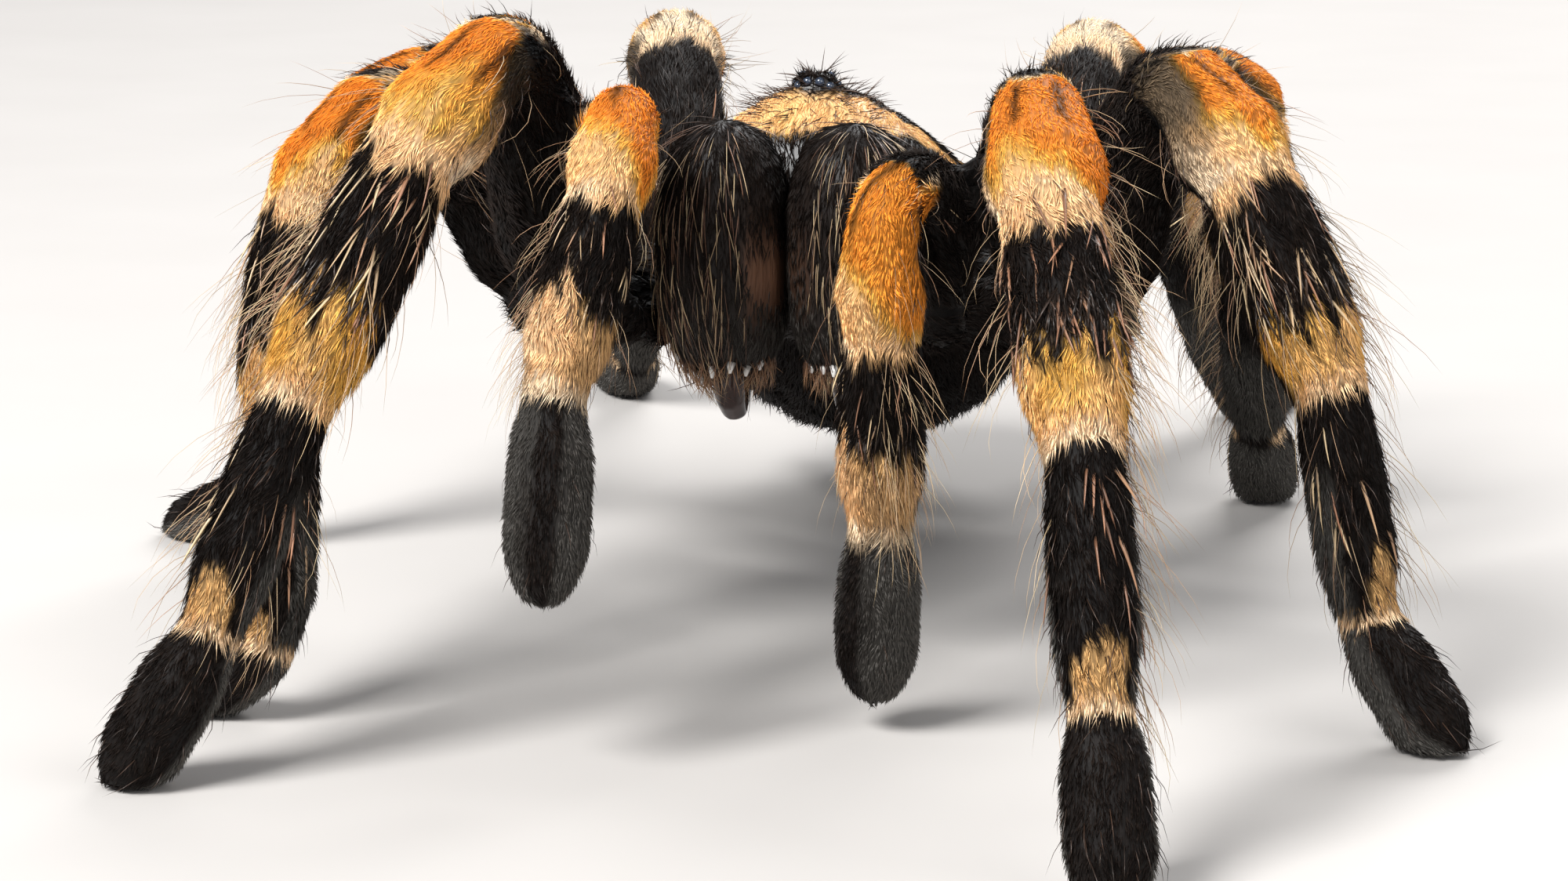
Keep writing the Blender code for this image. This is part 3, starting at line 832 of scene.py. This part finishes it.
def limb_chart(there, limb):
    return np.stack(
        [0.5 + there["turn"] / math.tau * 0.96, 0.02 + 0.95 * there["run"] / limb["run"][-1]], axis=1
    )


SHORT_HAIRS = {"leg": 24000, "palp": 16000}
# length mm and lift degrees of each joint's short hair
SHORT_COAT = {
    "femur": (0.95, 20),
    "patella": (0.62, 17),
    "tibia": (0.95, 24),
    "metatarsus": (0.85, 20),
    "tarsus": (0.55, 24),
}
SHORT_WIDTH = (0.06, 0.1)
# size of the locks in mm, and radians that their hairs turn aside together and each by itself
LOCK_SIZE = 1.1
LOCK_TURN = math.radians(14)
OWN_TURN = 0.16
LEAST_LIFT = 0.08
CURL = 0.4
for number, limb in enumerate(LIMBS):
    draw = np.random.default_rng(100 + number)
    name = limb["name"]
    kind = name.split("_")[0]
    roots, face = pick_roots(skin.data, skin_limb == number, SHORT_HAIRS[kind], draw)
    there = along_limb(roots, limb)
    marks, shade = limb_marking(limb, there)
    joint_coat = np.array([SHORT_COAT[joint] for joint in LIMB_JOINTS[name]])[there["joint"]]
    length, lift = joint_coat[:, 0], np.radians(joint_coat[:, 1])
    pad = marks[:, 2]
    lock = ripple(roots, LOCK_SIZE * MM, 20 + number)
    length = length * draw.uniform(0.65, 1.25, len(roots)) * (1 - 0.25 * pad) * MM
    lift = lift * (1 + 0.9 * pad) + np.radians(draw.normal(0, 5, len(roots)) + 4 * lock)
    lie = swept(there["tangent"], face, LOCK_TURN * lock + draw.normal(0, OWN_TURN, len(roots)))
    width = draw.uniform(*SHORT_WIDTH, len(roots)) * MM
    coat = hair_mesh(
        f"coat_{name}", roots, face, lie, length, width, np.maximum(lift, LEAST_LIFT),
        CURL + 0 * lift, 0, {"marking": marks, "strand": strands(draw, shade)},
        limb_chart(there, limb), coat_hair,
    )

# ---- The bristles of the limbs ----
# Long stiff hairs grow through the short coat. Pale ones lie in streaks down femur, shin and
# shank, finer ones fan out from their sides, and short dark ones stand along the knees.
BRISTLE_STOPS = [(0.0, (0.02, 0.013, 0.009)), (0.45, (0.3, 0.14, 0.075)), (1.0, (0.62, 0.47, 0.27))]
bristle_hair, tree, shader = new_material("bristle_hair")
to_tip, own_tone, pale = attribute_parts(tree, "strand")
paleness = node(tree, "ShaderNodeValToRGB")
colour_stops(paleness, BRISTLE_STOPS)
tree.links.new(pale, paleness.inputs[0])
tip_light = times_plus(tree, to_tip, 0.6, 0.5)
own_light = times_plus(tree, own_tone, 0.5, 0.75)
light = calculated(tree, "MULTIPLY", tip_light, own_light)
tree.links.new(dimmed(tree, paleness.outputs[0], light), shader.inputs["Base Color"])
shader.inputs["Roughness"].default_value = 0.42

STREAKS, FANS, SPIKES, LOCKS = range(4)
# how many pale streaks, side fans, dark spikes and dark locks each joint of a leg has
BRISTLES = {
    "femur": (12, 20, 150, 0),
    "patella": (0, 34, 130, 0),
    "tibia": (46, 210, 110, 110),
    "metatarsus": (12, 90, 110, 0),
    "tarsus": (0, 0, 50, 0),
}
# length mm low and high, lift and its spread in degrees, width mm, paleness low and high
HABITS = {
    STREAKS: (1.7, 3.2, 15, 5, 0.2, 0.4, 1.0),
    FANS: (2.6, 5.2, 46, 11, 0.045, 0.5, 1.0),
    SPIKES: (1.0, 2.2, 40, 12, 0.06, 0.0, 0.1),
    LOCKS: (1.4, 2.4, 12, 4, 0.2, 0.0, 0.05),
}
# each piece: its name, the habits in it, and the bends of its hairs
BRISTLE_PIECES = (("bristles", (STREAKS, FANS), 3), ("spikes", (SPIKES, LOCKS), 1))
# share of the fans that stand on the outer side
OUTER_FANS = 0.85
# the streaks of this leg are brown
BROWN_STREAKS = {"leg_1_left": 0.55}
# a palp's bristles against a leg's
PALP_COUNT, PALP_LENGTH, PALP_WIDTH = 0.5, 0.75, 0.7


def habit_place(habit, joint, there, side):
    """Where on a joint a habit grows. Fans keep to one side of it."""
    turn, share = there["turn"], there["share"]
    away = np.abs(turn)
    if habit == STREAKS:
        return (away < 1.9) & (share < 0.62)
    if habit == FANS:
        return (turn * side > 0.8) & (away < 2.4)
    if habit == LOCKS:
        return (away < 2.0) & (share > 0.4) & (share < 0.6)
    if joint == "patella":
        return (away > 1.35) | (share < 0.08)
    return away < 2.4


def habit_patches(name, habits, outer):
    """Each patch of like bristles on a limb: joint's number and name, habit, side and count."""
    whole = PALP_COUNT if name.startswith("palp") else 1.0
    for number, joint in enumerate(LIMB_JOINTS[name]):
        for habit in habits:
            sides = ((outer, 1.0),)
            if habit == FANS:
                sides = ((outer, OUTER_FANS), (-outer, 1 - OUTER_FANS))
            for side, portion in sides:
                size = int(BRISTLES[joint][habit] * whole * portion)
                if size:
                    yield number, joint, habit, side, size


skin_points, skin_normals = vertex_arrays(skin.data)
for number, limb in enumerate(LIMBS):
    draw = np.random.default_rng(300 + number)
    name = limb["name"]
    long, thick = (PALP_LENGTH, PALP_WIDTH) if name.startswith("palp") else (1, 1)
    outer = -1 if name.endswith("left") else 1
    mine = np.flatnonzero(skin_limb == number)
    there = along_limb(skin_points[mine], limb)
    for piece, habits, bends in BRISTLE_PIECES:
        found = []
        for joint_number, joint, habit, side, size in habit_patches(name, habits, outer):
            low, high, lift, vary, width, pale_low, pale_high = HABITS[habit]
            here = (there["joint"] == joint_number) & habit_place(habit, joint, there, side)
            allowed = np.zeros(len(skin_points), bool)
            allowed[mine[here]] = True
            roots, face = pick_roots(skin.data, allowed, size, draw)
            length = draw.uniform(low, high, size) * MM * long
            lift = np.radians(draw.normal(lift, vary, size))
            width = draw.uniform(0.6, 1.2, size) * width * MM * thick
            pale = draw.uniform(pale_low, pale_high, size)
            if habit == STREAKS:
                pale *= BROWN_STREAKS.get(name, 1)
            found.append((roots, face, length, lift, width, pale))
        roots, face, length, lift, width, pale = (np.concatenate(column) for column in zip(*found))
        size = len(roots)
        spot = along_limb(roots, limb)
        lie = swept(spot["tangent"], face, draw.normal(0, 0.2, size))
        bristles = hair_mesh(
            f"{piece}_{name}", roots, face, lie, length, width, np.maximum(lift, 0.12),
            draw.uniform(0.4, 1.3, size), bends, {"strand": strands(draw, pale)},
            limb_chart(spot, limb), bristle_hair,
        )

# ---- The coat of the body ----
# Short dark hair on the underside and hips points outwards and back. The belly wears a black
# coat with long rusty hairs standing through it, all combed towards the spinnerets.
rusty_hair, tree, shader = new_material("rusty_hair")
to_tip, own_tone, _ = attribute_parts(tree, "strand")
root_colour = mixed(tree, own_tone, (0.05, 0.018, 0.01), (0.12, 0.05, 0.025))
tip_colour = mixed(tree, own_tone, (0.28, 0.12, 0.05), (0.5, 0.3, 0.15))
tree.links.new(mixed(tree, to_tip, root_colour, tip_colour), shader.inputs["Base Color"])
shader.inputs["Roughness"].default_value = 0.45

# the carapace's flat underside tells how the front of the body is pitched
under_normals = [p.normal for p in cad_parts["carapace"].data.polygons if p.normal.z < -0.9]
body_up = -unit(np.array(under_normals).mean(0))
body_back = unit(np.cross(body_up, (1, 0, 0)))


def node_centre(name):
    return corners(name).mean(0)


waist = node_centre("pedicel")
tail = (node_centre("spinneret_left") + node_centre("spinneret_right")) / 2
belly_axis = unit(tail - waist)
hips_centre = node_centre("sternum_and_coxae")


def axis_chart(points, start, axis):
    """An unwrap round an axis: turn and distance along it."""
    across = unit(np.cross(axis, (0, 0, 1)))
    up = np.cross(across, axis)
    off = points - start
    turn = np.arctan2(off @ across, off @ up)
    run = off @ axis
    run = (run - run.min()) / (run.max() - run.min())
    return np.stack([0.5 + turn / math.tau * 0.96, 0.02 + 0.95 * run], axis=1)


def body_coat(
    name, nodes, count, length, lift, width, bends, seed, lie_of, chart_of, material, low=-1.0
):
    """A coat on the skin of some nodes, where it faces up by more than low."""
    draw = np.random.default_rng(seed)
    allowed = np.isin(skin_node, [FLESH.index(one) for one in nodes]) & (skin_normals[:, 2] >= low)
    roots, face = pick_roots(skin.data, allowed, count, draw)
    lock = ripple(roots, 1.6 * MM, seed)
    lie = swept(unit(lie_of(roots)), face, np.radians(15) * lock + draw.normal(0, 0.2, count))
    coat = hair_mesh(
        name, roots, face, lie, draw.uniform(*length, count) * MM, draw.uniform(*width, count) * MM,
        np.radians(draw.normal(lift, 6, count)), draw.uniform(0.2, 0.8, count), bends,
        {"marking": np.zeros((count, 3)), "strand": strands(draw, np.ones(count))},
        chart_of(roots), material,
    )
    return coat


# how much the hair leans back and down on the hips, and down on the belly
HIP_BACK, HIP_DOWN = 0.35, 2 * MM
BELLY_DOWN = 0.25


def outwards(roots):
    off = roots - hips_centre
    off = off + HIP_BACK * np.linalg.norm(off, axis=1, keepdims=True) * body_back
    off[:, 2] -= HIP_DOWN
    return off


def backwards(roots):
    return np.broadcast_to(belly_axis, roots.shape) - np.array([0, 0, BELLY_DOWN])


def hip_chart(roots):
    return axis_chart(roots, hips_centre, body_back)


def belly_chart(roots):
    return axis_chart(roots, waist, belly_axis)


body_coat(
    "coat_hips", ["sternum_and_coxae", "pedicel"], count=18000, length=(0.7, 1.4), lift=25,
    width=(0.08, 0.12), bends=0, seed=41, lie_of=outwards, chart_of=hip_chart, material=coat_hair,
)
coat = body_coat(
    "coat_abdomen", ["abdomen", "spinneret_left", "spinneret_right"], count=24000,
    length=(1.0, 1.9), lift=26, width=(0.09, 0.13), bends=0, seed=42,
    lie_of=backwards, chart_of=belly_chart, material=coat_hair,
)
coat = body_coat(
    "long_hair_abdomen", ["abdomen"], count=2400, length=(2.0, 3.6), lift=36, width=(0.07, 0.11),
    bends=2, seed=43, lie_of=backwards, chart_of=belly_chart, material=rusty_hair, low=-0.3,
)

# ---- The carapace ----
# The shield over the front body is one horny plate, dark in the middle with a broad cream edge,
# with a pit at its centre, grooves running out from it, and short hair that lies outwards.
SHIELD_SWELL = 0.12 * MM
SHIELD_DEPTH = 0.3 * MM
# the pit's place behind the middle, as a share of the half length, and its depth and reach in mm
PIT_BACK = 0.2
PIT_DEPTH, PIT_REACH = 0.55, 1.1
# bearing from the pit and depth in mm of the grooves on each side, and their width in mm
GROOVES = ((0.62, 0.3), (1.35, 0.2), (1.95, 0.2), (2.5, 0.2))
GROOVE_WIDTH = 0.5
# share out to the edge where the cream starts, and how much further in that is in front
CREAM_FROM = 0.8
CREAM_FRONT = 0.22
# mm that the cream rises over the jaws, and mm of black left round the knob behind
ARCH_RISE = 3.3
KNOB_BLACK = (1.4, 1.8)
SHIELD_WARMTH = 0.3
SHIELD_HAIRS = 16000
carapace = run_together(
    "carapace_plate", ["carapace", "eye_tubercle"],
    grain=0.25 * MM, swell=SHIELD_SWELL, smooth_rounds=6,
)
points, normals = vertex_arrays(carapace.data)
shield = corners("carapace")
shield_mid = (shield.max(0) + shield.min(0)) / 2
half_wide = (shield[:, 0].max() - shield[:, 0].min()) / 2
back_run = (shield - shield_mid) @ body_back
half_long = (back_run.max() - back_run.min()) / 2
pit = shield_mid + body_back * PIT_BACK * half_long
shield_low = ((shield - shield_mid) @ body_up).min() / MM


def shield_place(points):
    """Plan of the carapace: bearing from the pit, reach to it in mm, and share out to the edge."""
    off = points - pit
    plan = np.stack([off[:, 0], off @ body_back], axis=1)
    edge = points - shield_mid
    share = np.hypot(edge[:, 0] / half_wide, edge @ body_back / half_long)
    return np.arctan2(plan[:, 0], -plan[:, 1]), np.hypot(*plan.T) / MM, share


knob_low, knob_high = (np.array(v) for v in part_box("eye_tubercle"))
knob_mid = (knob_low + knob_high) / 2 - body_up * 0.4 * MM
behind_knob = knob_mid + (0.5 * body_back + 0.5 * body_up) * MM
bearing, reach, share = shield_place(points)
upper = ramp(normals @ body_up, 0.1, 0.5)
groove = np.zeros(len(points))
for angle, deep in GROOVES:
    across = np.sin(np.abs(bearing) - angle) * reach
    open_stretch = ramp(reach, 0.5, 2.0) * (1 - ramp(share, 0.5, 0.95))
    groove += deep * np.exp(-((across / GROOVE_WIDTH) ** 2)) * open_stretch
groove += PIT_DEPTH * np.exp(-((reach / PIT_REACH) ** 2))
points -= normals * (SHIELD_SWELL + SHIELD_DEPTH + groove[:, None] * upper[:, None] * MM)
move_vertices(carapace.data, points)


def shield_marking(points):
    """Markings of points on the carapace, and coordinates that streak outwards from its pit."""
    bearing, reach, share = shield_place(points)
    streak = np.stack([np.cos(bearing) * 8, np.sin(bearing) * 8, reach * 0.2], axis=1)
    rag = ripple(streak, 1.0, 61)
    fine = ripple(streak, 0.4, 62)
    height = (points - shield_mid) @ body_up / MM
    front = ramp(np.cos(bearing), 0.3, 0.9)
    start = CREAM_FROM - CREAM_FRONT * front + 0.03 * rag + 0.015 * fine
    band = ramp(share, start - 0.04, start + 0.03)
    rim = shield_low + ARCH_RISE * front
    band *= ramp(height + 0.1 * rag, rim + 0.1, rim + 0.4)
    band *= ramp(np.linalg.norm(points - behind_knob, axis=1) / MM + 0.12 * rag, *KNOB_BLACK)
    warmth = SHIELD_WARMTH + 0.06 * ramp(np.abs(bearing), 0.3, 1.0) + 0.04 * rag
    return np.stack([band, warmth, 0 * band], axis=1), streak


marking, streak = shield_marking(points)
set_vectors(carapace.data, "marking", marking)
set_vectors(carapace.data, "grain", streak)
set_vectors(carapace.data, "strand", np.tile([0, 0.4, 1.0], (len(points), 1)))

plate, tree, shader = new_material("carapace_shell")
tree.links.new(coat_of(tree)[0], shader.inputs["Base Color"])
bumped(tree, shader, 0.5, 0.08)
shader.inputs["Roughness"].default_value = 0.45
wear(carapace, plate)
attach(carapace, "root")
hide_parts("carapace", "eye_tubercle")

draw = np.random.default_rng(63)
roots, face = pick_roots(carapace.data, normals @ body_up > -0.2, SHIELD_HAIRS, draw)
marks, _ = shield_marking(roots)
lock = ripple(roots, 1.3 * MM, 64)
lie = swept(unit(roots - pit), face, 0.25 * lock + draw.normal(0, 0.2, len(roots)))
size = len(roots)
coat = hair_mesh(
    "coat_carapace", roots, face, lie, draw.uniform(0.4, 0.8, size) * MM,
    draw.uniform(0.07, 0.1, size) * MM, np.radians(draw.normal(17, 5, size)).clip(0.05),
    CURL + 0 * lock, 0, {"marking": marks, "strand": strands(draw, np.ones(size))},
    axis_chart(roots, shield_mid, body_up), coat_hair,
)

# ---- The eyes ----
# Eight small glassy eyes sit close together on the black knob near the front of the carapace.
# They are domes of clear horn, and dark bristles stand round them.

# direction of each eye from the middle of the knob, sideways, back and up, and radius in mm
EYES = [
    ((0.36, -0.75, 0.55), 0.24),
    ((0.85, -0.5, 0.3), 0.21),
    ((0.6, 0.15, 0.75), 0.18),
    ((0.85, 0.4, 0.4), 0.2),
]
EYE_SINK = 0.08 * MM
# mm from the middle of the knob that the dark bristles reach
KNOB_REACH = 3.4
KNOB_BRISTLES = 260
plate_tree = BVHTree.FromPolygons(
    [v.co.copy() for v in carapace.data.vertices], [list(p.vertices) for p in carapace.data.polygons]
)
eyes = bmesh.new()
for (x, back, up), radius in EYES:
    for side in (1, -1):
        direction = Vector(unit(np.array((x * side, 0, 0)) + body_back * back + body_up * up))
        start = Vector(knob_mid) + direction * 5 * MM
        spot = plate_tree.ray_cast(start, -direction)[0]
        bmesh.ops.create_uvsphere(
            eyes, u_segments=20, v_segments=12, radius=radius * MM,
            matrix=Matrix.Translation(spot - direction * EYE_SINK),
        )
eyes_piece = as_object("eyes", eyes)
eyes_piece.data.shade_smooth()
eye_glass, tree, shader = new_material("eye_glass")
glassy = clouded(tree, 3000, (0.004, 0.006, 0.012), (0.05, 0.07, 0.11))
tree.links.new(glassy, shader.inputs["Base Color"])
shader.inputs["Roughness"].default_value = 0.05
shader.inputs["Coat Weight"].default_value = 1.0
shader.inputs["Coat Roughness"].default_value = 0.03
wear(eyes_piece, eye_glass)
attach(eyes_piece, "root")

draw = np.random.default_rng(71)
points, normals = vertex_arrays(carapace.data)
near_knob = np.linalg.norm(points - knob_mid, axis=1) < KNOB_REACH * MM
facing_up = normals @ body_up > 0
roots, face = pick_roots(carapace.data, near_knob & facing_up, KNOB_BRISTLES, draw)
size = len(roots)
lie = swept(unit(roots - knob_mid), face, draw.normal(0, 0.3, size))
bristles = hair_mesh(
    "bristles_eyes", roots, face, lie, draw.uniform(0.6, 1.7, size) * MM,
    draw.uniform(0.045, 0.07, size) * MM, np.radians(draw.normal(48, 12, size)).clip(0.2),
    draw.uniform(0.1, 0.7, size), 3,
    {"strand": np.stack([np.zeros(size), draw.random(size), draw.uniform(0, 0.12, size)], axis=1)},
    axis_chart(roots, shield_mid, body_up), bristle_hair,
)

# ---- The chelicerae ----
# Two stout jaws hang side by side under the front of the carapace, black and domed above. Their inner
# faces are bare and brownish. Fine hair runs down them under long pale bristles, greyer towards their
# lower ends.
JAW_DEPTH = 0.22 * MM
INNER_DEPTH = 0.05 * MM
# how bare the inner face of each jaw is, by its side, and where along the jaw in mm
BARE = {-1: 1.0, 1: 0.35}
BARE_AT, BARE_LENGTH = -1.2, 1.9
JAW_HAIRS, JAW_BRISTLES = 10000, 640
# share of the bristles that are pale
PALE_SHARE = 0.45
jaws = []
for name in ("chelicera_left", "chelicera_right"):
    jaw = run_together(f"{name}_hide", [name], grain=0.28 * MM, swell=0.0, smooth_rounds=4)
    points, normals = vertex_arrays(jaw.data)
    side = 1 if name.endswith("left") else -1
    inward = -normals[:, 0] * side
    sink = JAW_DEPTH + (INNER_DEPTH - JAW_DEPTH) * ramp(inward, 0.2, 0.8)
    points -= normals * sink[:, None]
    move_vertices(jaw.data, points)
    jaw_mid = node_centre(name)
    fang_root = corners(name.replace("chelicera", "fang"))
    fang_root = fang_root[fang_root[:, 2] > fang_root[:, 2].max() - MM].mean(0)
    down = unit(fang_root - corners(name)[corners(name)[:, 2].argmax()])
    forward = np.cross((1, 0, 0), down)
    forward = forward * -np.sign(forward @ body_back)
    run = (points - jaw_mid) @ down / MM
    bare_stretch = np.exp(-(((run - BARE_AT) / BARE_LENGTH) ** 2))
    bare = ramp(inward, 0.3, 0.9) * bare_stretch * BARE[side]
    flat = np.zeros(len(points))
    set_vectors(jaw.data, "marking", np.stack([flat, flat, flat], axis=1))
    set_vectors(jaw.data, "strand", np.stack([flat, flat + HIDE_TONE, flat + 1], axis=1))
    streak = np.stack([points[:, 0] / MM, (points - jaw_mid) @ forward / MM, run * 0.16], axis=1)
    set_vectors(jaw.data, "grain", streak)
    set_vectors(jaw.data, "cleft", np.stack([bare, bare, bare], axis=1))
    jaws.append((name, jaw, side, jaw_mid, down, forward, bare))

jaw_hide, tree, shader = new_material("jaw_hide")
bareness = attribute_parts(tree, "cleft")[0]
height = bumped(tree, shader, 0.6, 0.1)
bare_brown = mixed(tree, height, (0.06, 0.027, 0.015), (0.19, 0.095, 0.055))
tree.links.new(mixed(tree, bareness, coat_of(tree)[0], bare_brown), shader.inputs["Base Color"])
shader.inputs["Roughness"].default_value = 0.5
shader.inputs["Specular IOR Level"].default_value = 0.2

for number, (name, jaw, side, jaw_mid, down, forward, bare) in enumerate(jaws):
    wear(jaw, jaw_hide)
    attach(jaw, "root")
    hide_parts(name)
    draw = np.random.default_rng(500 + number)
    points, normals = vertex_arrays(jaw.data)
    inward = -normals[:, 0] * side
    run = (points - jaw_mid) @ down / MM
    bristly = (inward < 0.45) | (run > 3.5)
    everywhere = np.ones(len(points), bool)
    haired = np.clip(1 - 1.3 * bare, 0, 1)
    roots, face = pick_roots(jaw.data, everywhere, JAW_HAIRS, draw, haired)
    size = len(roots)
    lie = swept(np.broadcast_to(down + 0.15 * forward, roots.shape), face, draw.normal(0, 0.22, size))
    run = (roots - jaw_mid) @ down / MM
    # the fine hair is greyer towards the lower end of the jaw
    grey = ramp(run, -3.0, 3.0) * 0.7 * draw.random(size)
    coat = hair_mesh(
        f"coat_{name}", roots, face, lie, draw.uniform(0.45, 0.95, size) * MM,
        draw.uniform(0.055, 0.085, size) * MM, np.radians(draw.normal(14, 4, size)).clip(0.05),
        CURL + 0 * run, 0,
        {
            "marking": np.stack([0 * run, 0 * run, grey], axis=1),
            "strand": strands(draw, np.ones(size)),
        },
        axis_chart(roots, jaw_mid, down), coat_hair,
    )
    roots, face = pick_roots(jaw.data, bristly, JAW_BRISTLES, draw)
    size = len(roots)
    run = (roots - jaw_mid) @ down / MM
    lie = swept(np.broadcast_to(down + 0.3 * forward, roots.shape), face, draw.normal(0, 0.12, size))
    is_pale = draw.random(size) < PALE_SHARE
    pale = np.where(is_pale, draw.uniform(0.6, 1.0, size), draw.uniform(0.0, 0.3, size))
    bristles = hair_mesh(
        f"bristles_{name}", roots, face, lie, draw.uniform(1.2, 2.9, size) * MM,
        draw.uniform(0.04, 0.07, size) * MM, np.radians(draw.normal(20, 6, size)).clip(0.1),
        draw.uniform(0.9, 1.7, size), 3,
        {"strand": strands(draw, pale)}, axis_chart(roots, jaw_mid, down), bristle_hair,
    )

# ---- The teeth and the fringe of the jaws ----
# A row of small shining teeth stands along the inner lower edge of each jaw, where the fang folds
# against it, above a fringe of rusty hair. The teeth are painted pale grey-white as a painted
# highlight.
TEETH = 7
TOOTH_AIM = unit(np.array((0.0, -0.6, -1.0)))
# mm from the jaw's middle outwards to the first tooth, and from it to the last
FIRST_TOOTH, TOOTH_ROW = 2.3, 4.2
# mm: length of the first tooth, how much shorter each next one is, and the radii of root and tip
TOOTH_LENGTH, TOOTH_SHORTER = 0.62, 0.03
TOOTH_ROOT, TOOTH_TIP = 0.24, 0.06
# mm that the fringe reaches up the jaw, and its count of hairs
FRINGE_RISE, FRINGE_HAIRS = 1.6, 450
tooth_horn, tree, shader = new_material("tooth_horn")
# painted highlight: the teeth are painted pale grey-white to stand in for glints of light on teeth
# that are dark
painted_glint = clouded(tree, 2500, (0.45, 0.42, 0.38), (0.9, 0.88, 0.85))
tree.links.new(painted_glint, shader.inputs["Base Color"])
shader.inputs["Roughness"].default_value = 0.12
shader.inputs["Coat Weight"].default_value = 0.8
for name, jaw, side, jaw_mid, down, forward, _ in jaws:
    points, normals = vertex_arrays(jaw.data)
    lowest = points[:, 2].min()
    teeth = bmesh.new()
    for number in range(TEETH):
        x = jaw_mid[0] + side * (FIRST_TOOTH - TOOTH_ROW * number / (TEETH - 1)) * MM
        slice_points = points[np.abs(points[:, 0] - x) < 0.2 * MM]
        spot = slice_points[(slice_points @ TOOTH_AIM).argmax()]
        long = (TOOTH_LENGTH - TOOTH_SHORTER * number) * MM
        aim = Vector(TOOTH_AIM).to_track_quat("Z", "Y").to_matrix().to_4x4()
        bmesh.ops.create_cone(
            teeth, cap_ends=True, segments=10, radius1=TOOTH_ROOT * MM, radius2=TOOTH_TIP * MM,
            depth=long, matrix=Matrix.Translation(Vector(spot + TOOTH_AIM * 0.3 * long)) @ aim,
        )
    row = as_object(f"teeth_{name.split('_')[1]}", teeth)
    row.data.shade_smooth()
    wear(row, tooth_horn)
    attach(row, "root")
    draw = np.random.default_rng(540 + side)
    low_edge = points[:, 2] < lowest + FRINGE_RISE * MM
    roots, face = pick_roots(jaw.data, low_edge, FRINGE_HAIRS, draw)
    size = len(roots)
    lie = swept(np.broadcast_to(down, roots.shape), face, draw.normal(0, 0.35, size))
    fringe = hair_mesh(
        f"fringe_{name.split('_')[1]}", roots, face, lie, draw.uniform(0.9, 1.9, size) * MM,
        draw.uniform(0.045, 0.07, size) * MM, np.radians(draw.normal(40, 12, size)).clip(0.2),
        draw.uniform(0.1, 0.8, size), 2,
        {"strand": strands(draw, np.ones(size))}, axis_chart(roots, jaw_mid, down), rusty_hair,
    )

# ---- The fangs ----
# Each jaw ends in one curved fang of black horn, smooth and glossy with a hint of red. It is
# folded back under the jaw, and is the solid itself with its edges worn round.
fang_horn, tree, shader = new_material("fang_horn")
horn = clouded(tree, 900, (0.006, 0.003, 0.002), (0.035, 0.009, 0.005), detail=4)
tree.links.new(horn, shader.inputs["Base Color"])
shader.inputs["Roughness"].default_value = 0.22
for name in ("fang_left", "fang_right"):
    fang = run_together(
        f"{name}_horn", [name], grain=0.12 * MM, swell=0.05 * MM, smooth_rounds=6
    )
    wear(fang, fang_horn)
    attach(fang, "root")
    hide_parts(name)

# ---- The table and the studio ----
# The model stands on a plain pale table under broad soft lamps, with one lamp behind it that
# draws a rim on the hair. It is seen from low in front.
floor_mesh = bmesh.new()
bmesh.ops.create_grid(floor_mesh, x_segments=1, y_segments=1, size=3.0)
floor = as_object("floor", floor_mesh)
floor_paint, tree, shader = new_material("floor_paint")
pale_grey = clouded(tree, 60, (0.42, 0.4, 0.38), (0.45, 0.43, 0.41))
tree.links.new(pale_grey, shader.inputs["Base Color"])
shader.inputs["Roughness"].default_value = 0.85
wear(floor, floor_paint)
floor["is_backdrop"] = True

SKY = (0.9, 0.93, 1.0)
SKY_STRENGTH = 0.4
world = bpy.data.worlds.new("studio")
world.use_nodes = True
world.node_tree.nodes["Background"].inputs[0].default_value = (*SKY, 1)
world.node_tree.nodes["Background"].inputs[1].default_value = SKY_STRENGTH
bpy.context.scene.world = world

# place m, power W, size m
LAMPS = {
    "key": ((-0.2, -0.36, 0.4), 6.5, 0.22),
    "fill": ((0.4, -0.3, 0.25), 1.2, 0.4),
    "rim": ((0.1, 0.4, 0.4), 3.0, 0.3),
}
body_mid = Vector(node_centre("sternum_and_coxae"))
for name, (at, power, size) in LAMPS.items():
    lamp = bpy.data.lights.new(name, "AREA")
    lamp.energy = power
    lamp.size = size
    made = bpy.data.objects.new(name, lamp)
    made.location = at
    made.rotation_euler = (body_mid - Vector(at)).to_track_quat("-Z", "Y").to_euler()
    bpy.context.scene.collection.objects.link(made)

# place m, turn and downward pitch in degrees, and focal length mm
CAMERA_AT = (0.03804, -0.21739, 0.0545)
CAMERA_TURN = 10
CAMERA_PITCH = 12
CAMERA_LENS = 101.7
camera_data = bpy.data.cameras.new("camera")
camera_data.lens = CAMERA_LENS
camera_data.sensor_width = 36
camera_data.clip_start = 0.001
camera = bpy.data.objects.new("camera", camera_data)
camera.location = CAMERA_AT
camera.rotation_euler = (math.radians(90 - CAMERA_PITCH), 0, math.radians(CAMERA_TURN))
bpy.context.scene.collection.objects.link(camera)
bpy.context.scene.camera = camera
bpy.context.scene.view_settings.view_transform = "Standard"

low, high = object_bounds()
